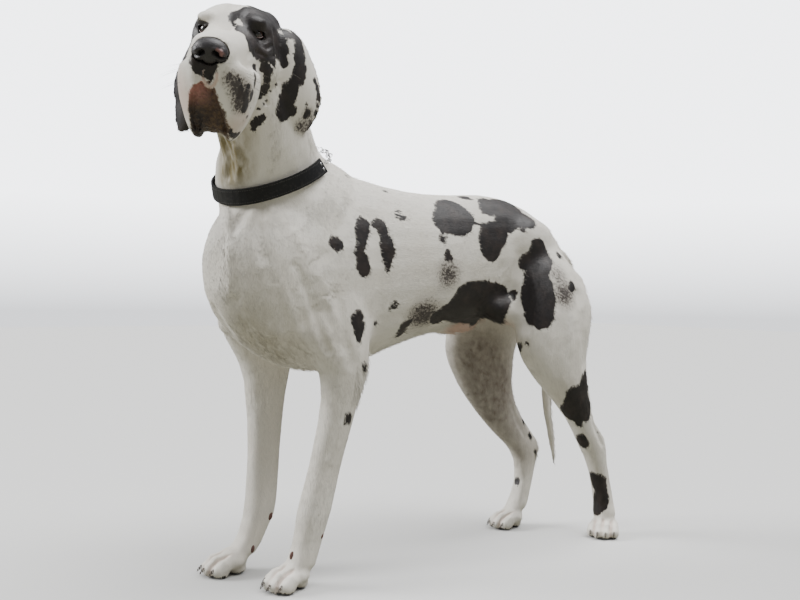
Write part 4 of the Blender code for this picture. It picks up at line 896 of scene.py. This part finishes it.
# Longer hair where the coat breaks the form: behind the thighs, under the tail, belly and breast,
# down the neck and the sternum's parting, and on the rims of ears and flews, elbows and toes.
# A share of hair grows near each line, in places from the feet.
FRINGES = (
    (0.2, 0.016, ((0.105, -0.12, 0.80), (0.112, -0.135, 0.72), (0.105, -0.135, 0.64))),
    (0.5, 0.03, ((-0.02, -0.06, 1.06), (0.0, 0.10, 0.93), (0.0, 0.24, 0.87))),
    (0.5, 0.03, ((0.155, 0.18, 0.47), (0.150, 0.17, 0.42))),
    (0.5, 0.03, ((-0.155, 0.11, 0.47), (-0.150, 0.10, 0.42))),
)
TAIL_UNDER = ((-0.003, 0.86, 0.70), (-0.046, 0.869, 0.43), (-0.05, 0.902, 0.165))
edge = clipped(-out[:, 2] - 0.55) * (stance[:, 2] > 0.45) * ~on_head
edge += 0.9 * clipped(out[:, 1] - 0.45) * (stance[:, 1] > 0.72) * (stance[:, 2] > 0.32)
edge += 0.6 * (near_line(stance, TAIL_UNDER) < 0.05) * (out[:, 1] > 0.1)
for weight, reach, line in FRINGES:
    edge += weight * (near_line(stance, line) < reach)
edge += 0.48 * on_head * (np.abs(left) > 0.07) * (np.abs(forward + 0.005) > 0.03)
edge += 0.5 * (stance[:, 2] < 0.045) * (np.abs(out[:, 2]) < 0.5)
grown("coat_wisps", edge * open_skin, LONG_WISPS, 3, LONG, NARROW, (13, 10), TUFT_SEED + 9)


# Eyes: a glossy ball in each socket, with a clear bulge over a dark brown iris, a black pupil, and
# the pink haw that shows under a heavy lower lid. They take the place of the solids' plain balls.
IRIS_REACH, PUPIL_REACH = radians(33), radians(13)
GAZE_OUT, GAZE_UP = radians(16), radians(6)
BULGE, BALL_GAP = 0.075, 0.0006
HAW_ARC, HAW_LEVEL, HAW_HEIGHT, HAW_THICK = 46, -17.5, 2.8, 0.0008
IRIS_BROWN, IRIS_RIM = ((0.009, 0.0045, 0.0025), (0.035, 0.016, 0.007)), (0.008, 0.005, 0.004)
PUPIL = (0.002, 0.002, 0.002)
EYE_WHITE, HAW_PINK = ((0.09, 0.06, 0.05), (0.05, 0.025, 0.02)), ((0.060, 0.022, 0.020), (0.17, 0.080, 0.070))

eye_glass, tree, ball = painted("brown_eye")
angle, from_middle = field(tree, "from_pupil"), field(tree, "round_pupil", True)
iris = blended(speckle(from_middle, 0.07, 3, (1, 1, 14)), *IRIS_BROWN)
iris = blended(ramped(angle, IRIS_REACH * 0.74, IRIS_REACH), iris, IRIS_RIM)
white = blended(speckle(from_middle, 0.16, 4), *EYE_WHITE)
colour = blended(ramped(angle, IRIS_REACH, IRIS_REACH * 1.12), iris, white)
colour = blended(ramped(angle, PUPIL_REACH * 1.08, PUPIL_REACH * 0.92), colour, PUPIL)
surfaced(ball, colour)
ball.inputs["Roughness"].default_value = 0.25
ball.inputs["Coat Weight"].default_value = 1.0
ball.inputs["Coat Roughness"].default_value = 0.03


def place_in(tree):
    return tree.nodes.new("ShaderNodeNewGeometry").outputs["Position"]


haw_flesh, tree, haw = painted("wet_haw")
veins = speckle(place_in(tree), 0.0018, 3)
surfaced(haw, blended(veins, *HAW_PINK), ramped(veins, 0, 1, 0.15, 0.35))
haw.inputs["Coat Weight"].default_value = 0.7
haw.inputs["Coat Roughness"].default_value = 0.08


def turned_ball(name, centre, radius, aim):
    """A ball whose bulging pole faces aim, and each point's angle from that pole."""
    work = bmesh.new()
    bmesh.ops.create_uvsphere(work, u_segments=48, v_segments=36, radius=1)
    thing = added(name, work, eye_glass)
    unit = places(thing)
    angle = np.arccos(np.clip(unit[:, 2], -1, 1))
    bulge = 1 + BULGE * clipped(1 - (angle / (IRIS_REACH * 1.15)) ** 2)
    spin = np.array(Vector(aim).to_track_quat("Z", "Y").to_matrix())
    put(thing, (unit * (radius * bulge)[:, None]) @ spin.T + np.array(centre))
    kept(thing, "from_pupil", angle)
    kept(thing, "round_pupil", unit)
    return thing


def haw_sheet(name, side):
    """A strip along the lower lid, of rows across the strip from one corner of the eye to the other."""
    across, rows = np.linspace(-1, 1, 7), np.radians(np.linspace(-HAW_ARC, HAW_ARC, 25))
    points, faces = [], []
    for a in rows:
        for s in across:
            b = radians(HAW_LEVEL - HAW_HEIGHT * s) * np.cos(a * 1.75) ** 0.8
            way = Vector((cos(b) * cos(a + EYE_OUT), cos(b) * sin(a + EYE_OUT) * side, sin(b)))
            out = way * (EYE_BALL + BALL_GAP + 0.0007 * (1 - s * s))
            points.append(head_frame @ (EYE_PLACE * Vector((1, side, 1)) + out))
    n = len(across)
    for i in range(0, n * len(rows) - n, n):
        for a, b in zip(range(i, i + n - 1), range(i + 1, i + n)):
            quad = (a, b, b + n, a + n)
            faces.append(quad if side < 0 else quad[::-1])
    sheet = bpy.data.meshes.new(name)
    sheet.from_pydata(points, [], faces)
    thing = added(name, sheet, haw_flesh)
    thick = thing.modifiers.new("thick", "SOLIDIFY")
    thick.thickness = HAW_THICK
    thick.offset = 0
    return thing


for side, name in ((1, "left"), (-1, "right")):
    aim = Vector((cos(GAZE_OUT) * cos(GAZE_UP), side * sin(GAZE_OUT) * cos(GAZE_UP), sin(GAZE_UP)))
    centre = head_frame @ (EYE_PLACE * Vector((1, side, 1)))
    eyeball = turned_ball(f"eyeball_{name}", centre, (EYE_BALL - BALL_GAP) * HEAD_SIZE, head_turn @ aim)
    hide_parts(f"eye_{name}")
    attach(eyeball, "root")
    haw_rim = haw_sheet(f"haw_{name}", side)
    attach(haw_rim, "root")


# Nose: pebbled black leather, damp, with deep nostrils slit at the side, and a groove between them.
# It is the solids' nose at a finer grain, and takes its place. Places and radii are in mm.
NOSE_LUMPS = (
    ((232, 0, -2), (16.5, 25.5, 16.5)), ((232, 14, -6.5), (14.5, 13.5, 14)),
    ((232, -14, -6.5), (14.5, 13.5, 14)), ((233, 0, -11), (11.5, 14, 13)),
)
NOSTRIL_MARKS = (
    (13, 6.8, (248, 10.5, -8.5), (248, 12, -9.5)),
    (7, 3.8, (247, 12.5, -12.5), (242, 20, -15), (235, 25.5, -13.5)),
    (-1.8, 4, (250, 7.5, -1), (249, 14, 0), (246, 20.5, -4.5)),
    (2.2, 2.6, (252, 0, 4), (250, 0, -10), (246, 0, -24)),
)
PINK_SPOTS = ((247, 16, -4, 5.5), (243, 21, -9, 4), (244, -20, 5, 3))
NOSE_VOXEL = 0.0009
NOSTRIL = ((0.241, 0.011, -0.010), (0.236, 0.024, -0.0135))
LEATHER = ((0.014, 0.013, 0.015), (0.040, 0.034, 0.036))
# The second colour is painted shade inside the nostrils.
NOSE_PINK, NOSTRIL_SHADE = (0.30, 0.14, 0.13), (0.004, 0.003, 0.003)


def lump(work, place, radii, columns=28, rows=18):
    """Adds a ball of three radii to a bmesh, placed and turned by a matrix."""
    place = place @ Matrix.Diagonal((*radii, 1))
    bmesh.ops.create_uvsphere(work, u_segments=columns, v_segments=rows, radius=1, matrix=place)


work = bmesh.new()
for centre, radii in np.array(NOSE_LUMPS) / 1000:
    lump(work, head_frame @ Matrix.Translation(centre), radii, 32, 20)
nose = added("nose_leather", work)
fused(nose, NOSE_VOXEL)
relax(nose, 14)
pressed(nose, NOSTRIL_MARKS, in_head(places(nose)), HEAD_SIZE, (1, -1))
relax(nose, 1)
seen = in_head(places(nose))
in_nostril = np.min([near_line(seen, np.array(NOSTRIL) * (1, side, 1)) for side in (1, -1)], 0)
kept(nose, "nostril", in_nostril * HEAD_SIZE)
kept(nose, "pink", rounds(seen, PINK_SPOTS, 0.002) * HEAD_SIZE)

leather, tree, hide = painted("nose_leather")
place = place_in(tree)
patchy = speckle(place, 0.008, 3)
rim = times(ramped(field(tree, "pink"), 0.0015, -0.0015), ramped(patchy, 0.35, 0.60))
colour = blended(times(rim, 0.8), blended(patchy, *LEATHER), NOSE_PINK)
# Painted shade: near-black down the nostrils' slits
colour = blended(ramped(field(tree, "nostril"), 0.0040, 0.0015), colour, NOSTRIL_SHADE)
surfaced(hide, colour, ramped(patchy, 0, 1, 0.38, 0.60))
hide.inputs["Coat Weight"].default_value = 0.12
hide.inputs["Coat Roughness"].default_value = 0.30
bumped(hide, noded(tree, "TexVoronoi", place, None, 620), 0.5, 0.0007, True)
nose.data.materials.append(leather)
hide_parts("nose")
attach(nose, "root")


# Claws: blunt horn, streaked dark and paler. The solids' claws stay, rounded.
HORN = ((0.030, 0.023, 0.020), (0.105, 0.082, 0.066))
horn, tree, shell = painted("dark_horn")
streaks = speckle(place_in(tree), 0.0016, 3, (1, 6, 1))
surfaced(shell, blended(streaks, *HORN), ramped(streaks, 0, 1, 0.32, 0.5))
bumped(shell, streaks, 0.3, 0.0003)


def refinished(start, stuff):
    """Gives the solids whose names start so a material and rounder faces."""
    for name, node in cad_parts.items():
        if name.startswith(start):
            node.data.materials.clear()
            node.data.materials.append(stuff)
            rounded = node.modifiers.new("rounded", "SUBSURF")
            rounded.levels = rounded.render_levels = 2


refinished("claw_", horn)


# Dewclaws and carpal pads: a small claw inside each foreleg, in pinkish-brown skin, and a bare dark
# pad behind each wrist. Places are from the feet, and each is half sunk in the leg.
DEW_AND_PADS = (
    ("dewclaw_left", (0.0885, 0.031, 0.073), (0.0042, 0.0045, 0.0090)),
    ("dewclaw_right", (-0.0560, 0.003, 0.056), (0.0045, 0.0045, 0.0090)),
    ("carpal_pad_left", (0.108, 0.089, 0.114), (0.0075, 0.0070, 0.0100)),
    ("carpal_pad_right", (-0.065, 0.047, 0.124), (0.0080, 0.0080, 0.0110)),
)
LEG_LEAN = radians(-12)
PAD_BROWN = ((0.045, 0.022, 0.018), (0.210, 0.105, 0.085))
pad_skin, tree, pad = painted("pad_skin")
rough_skin = speckle(place_in(tree), 0.0016, 4)
surfaced(pad, blended(rough_skin, *PAD_BROWN), ramped(rough_skin, 0, 1, 0.55, 0.80))
bumped(pad, rough_skin, 0.6, 0.0006)
for name, at, radii in DEW_AND_PADS:
    work = bmesh.new()
    lump(work, Matrix.Translation(FEET + Vector(at)) @ Matrix.Rotation(LEG_LEAN, 4, "X"), radii)
    thing = added(name, work, pad_skin)
    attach(thing, "root")


# Whiskers: stiff tapered bristles from the flews, chin, cheeks and brows, dark and pale by turns.
# Each starts where a line from the side meets the skin: a place forward and up, and a length.
WHISKER_WIRE, WHISKER_TAPER, WHISKER_SAG, WHISKER_SEED = 0.00020, 0.86, 0.45, 5
WHISKER_DEEP, PALE_SHARE = 0.001, 0.45
WHISKER_BEDS = [
    (0.205 - 0.016 * k, -0.030 - 0.014 * row, 0.028 + 0.005 * k) for row in range(3) for k in range(4)
]
WHISKER_BEDS += [(0.062, 0.058, 0.020), (0.056, 0.062, 0.022), (0.010, -0.040, 0.022), (0.200, -0.122, 0.016)]
BRISTLE = ((0.012, 0.011, 0.011), (0.55, 0.52, 0.48))
STEPS, THIRD = 6, 2.1
rng = np.random.default_rng(WHISKER_SEED)
tree_of_skin = BVHTree.FromPolygons(where.tolist(), corners.tolist())
points, faces, hue = [], [], []
sag = head_turn @ Vector((-0.3, 0, -0.5)) * WHISKER_SAG
for side in (1, -1):
    for f, u, long in WHISKER_BEDS:
        f, u = f + rng.normal(0, 0.003), u + rng.normal(0, 0.003)
        start = head_frame @ Vector((f, side * 0.12, u))
        hit, facing = tree_of_skin.ray_cast(start, head_turn @ Vector((0, -side, 0)))[:2]
        if hit is None:
            continue
        way = (head_turn @ Vector((-0.25 + 0.5 * (f > 0.15), side * 1.0, -0.35)) + facing * 0.4).normalized()
        one = way.orthogonal().normalized()
        two = way.cross(one)
        first = len(points)
        for t in np.arange(STEPS + 1) / STEPS:
            middle = hit - facing * WHISKER_DEEP + way * (long * t) + sag * (long * t * t)
            for a in (0, THIRD, 2 * THIRD):
                ring = (one * cos(a) + two * sin(a)) * (WHISKER_WIRE * (1 - WHISKER_TAPER * t))
                points.append(middle + ring)
        for b in range(first, first + 3 * STEPS, 3):
            faces += [(b + a, b + (a + 1) % 3, b + (a + 1) % 3 + 3, b + a + 3) for a in range(3)]
        end = first + 3 * STEPS
        faces += [(first + 2, first + 1, first), (end, end + 1, end + 2)]
        hue += [float(rng.random() < PALE_SHARE)] * (3 * STEPS + 3)
bristle, tree, shaft = painted("bristle")
surfaced(shaft, blended(field(tree, "pale"), *BRISTLE))
shaft.inputs["Roughness"].default_value = 0.4
mesh = bpy.data.meshes.new("whiskers")
mesh.from_pydata(points, [], faces)
whiskers = added("whiskers", mesh, bristle, False)
kept(whiskers, "pale", np.array(hue))
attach(whiskers, "root")


# Collar: a plain black leather strap, its edges rounded and rubbed, and closed behind the neck by a
# chain of oval steel links. The solids' strap and links stay, with a finish.
COLLAR_MIDDLE = Vector((0.050, 0.003, 0.897)) + FEET
COLLAR_UP = Vector((0.294, -0.469, 1)).normalized()
STRAP_BLACK = ((0.006, 0.006, 0.007), (0.020, 0.018, 0.017))
STEEL = ((0.42, 0.42, 0.43), (0.72, 0.72, 0.73))
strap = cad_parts["collar_strap"]
strap_leather, tree, hide = painted("black_strap_leather")
place = place_in(tree)
creases = speckle(place, 0.006, 4)
worn = blended(ramped(creases, 0.52, 0.72), *STRAP_BLACK)
surfaced(hide, worn, ramped(creases, 0.2, 0.8, 0.34, 0.58))
hide.inputs["Specular IOR Level"].default_value = 0.3
bumped(hide, plus(noded(tree, "TexVoronoi", place, None, 900), creases), 0.45, 0.0004)
strap.data.materials.clear()
strap.data.materials.append(strap_leather)
edge = strap.modifiers.new("edge", "BEVEL")
edge.width = 0.0011
edge.segments = 3
edge.limit_method = "ANGLE"
edge.angle_limit = radians(40)

steel, tree, metal = painted("chain_steel")
scuffs = speckle(place_in(tree), 0.0025, 4)
surfaced(metal, blended(scuffs, *STEEL), ramped(scuffs, 0.3, 0.7, 0.16, 0.36))
metal.inputs["Metallic"].default_value = 1.0
refinished("chain_link_", steel)


# Stitches and rivets: waxed thread along both edges of the strap, and two steel rivets at each end,
# where the chain is held. Turns are degrees round from the throat, and levels up the strap's width.
STITCH_TURNS, STITCH_LEVELS = np.radians(np.arange(-109, 94, 0.25)), (-0.0118, 0.0118)
STITCH_LONG, STITCH_WIDE, STITCH_HIGH, STITCH_PITCH = 0.0034, 0.0011, 0.0009, 0.0052
RIVET_TURNS, RIVET_LEVELS, RIVET = np.radians((-107.5, 92.5)), (-0.006, 0.006), (0.0032, 0.0032, 0.0013)
THREAD = ((0.020, 0.019, 0.018), (0.075, 0.070, 0.064))
OUTSIDE, FARTHEST = 0.5, 0.46
thread, tree, cotton = painted("waxed_thread")
twist = speckle(place_in(tree), 0.0006, 2)
surfaced(cotton, blended(twist, *THREAD))
cotton.inputs["Roughness"].default_value = 0.6

outer = BVHTree.FromPolygons([v.co for v in strap.data.vertices], [p.vertices for p in strap.data.polygons])
throat = Vector((0.62, -0.78, 0))
throat = (throat - COLLAR_UP * throat.dot(COLLAR_UP)).normalized()
to_left = COLLAR_UP.cross(throat)


def on_strap(turns, level):
    """The places on the strap's outer face at some turns and one level, each with its facing."""
    for turn in turns:
        ray = throat * cos(turn) + to_left * sin(turn)
        start = COLLAR_MIDDLE + COLLAR_UP * level + ray * OUTSIDE
        hit, facing = outer.ray_cast(start, -ray)[:2]
        if hit is not None and (hit - start).length <= FARTHEST:
            yield hit, facing


work = bmesh.new()
for level in STITCH_LEVELS:
    spots = list(on_strap(STITCH_TURNS, level))
    far = 0.0
    for (a, facing), (b, _) in zip(spots, spots[1:]):
        far += (b - a).length
        if far < STITCH_PITCH:
            continue
        far -= STITCH_PITCH
        along = (b - a).normalized()
        spin = Matrix((along, facing.cross(along), facing)).transposed().to_4x4()
        radii = (STITCH_LONG / 2, STITCH_WIDE / 2, STITCH_HIGH / 2)
        lump(work, Matrix.Translation(a + facing * 0.0001) @ spin, radii, 8, 6)
sewn = added("collar_stitches", work, thread, False)
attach(sewn, "root")

work = bmesh.new()
for level in RIVET_LEVELS:
    for hit, facing in on_strap(RIVET_TURNS, level):
        spin = facing.to_track_quat("Z", "Y").to_matrix().to_4x4()
        lump(work, Matrix.Translation(hit) @ spin, RIVET, 20, 10)
riveted = added("collar_rivets", work, steel)
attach(riveted, "root")


# Floor and light: a plain pale studio sweep under broad soft light from above and before the dog.
# The floor throws back as little light as grass does, so that the underside is shaded.
# Each lamp is a way to it, how many degrees of sky it fills, and its power.
SUNS = (("high_light", (0.25, 0.30, 1.00), 55, 5.0), ("side_light", (-0.60, -0.90, 0.60), 30, 3.4))
SKY_LIGHT, FLOOR_SHINE, SKY_SHINE = 0.30, 1.5, 4.6
FLOOR_PALE, FLOOR_BOUNCE, SKY_WHITE = (0.66, 0.66, 0.65), (0.21, 0.205, 0.16), (0.94, 0.96, 1.0)
bpy.ops.mesh.primitive_plane_add(size=30)
floor = bpy.context.object
floor.name = "floor"
pale, tree, matt = painted("pale_floor")
seen = tree.nodes.new("ShaderNodeLightPath").outputs["Is Camera Ray"]
surfaced(matt, blended(seen, FLOOR_BOUNCE, FLOOR_PALE))
matt.inputs["Roughness"].default_value = 0.85
floor.data.materials.append(pale)
world = bpy.data.worlds.new("studio")
world.use_nodes = True
tree = world.node_tree
sky = tree.nodes["Background"]
sky.inputs[0].default_value = (*SKY_WHITE, 1)
facing = parts_of(tree.nodes.new("ShaderNodeTexCoord").outputs["Generated"])
backdrop = ramped(facing[2], -0.02, 0.10, FLOOR_SHINE, SKY_SHINE)
seen = tree.nodes.new("ShaderNodeLightPath").outputs["Is Camera Ray"]
shine = maths("MULTIPLY_ADD", seen, maths("SUBTRACT", backdrop, SKY_LIGHT), SKY_LIGHT)
tree.links.new(shine, sky.inputs[1])
bpy.context.scene.world = world
for name, way, spread, power in SUNS:
    lamp = bpy.data.objects.new(name, bpy.data.lights.new(name, "SUN"))
    lamp.data.angle = radians(spread)
    lamp.data.energy = power
    lamp.rotation_euler = Vector(way).to_track_quat("Z", "Y").to_euler()
    bpy.context.scene.collection.objects.link(lamp)
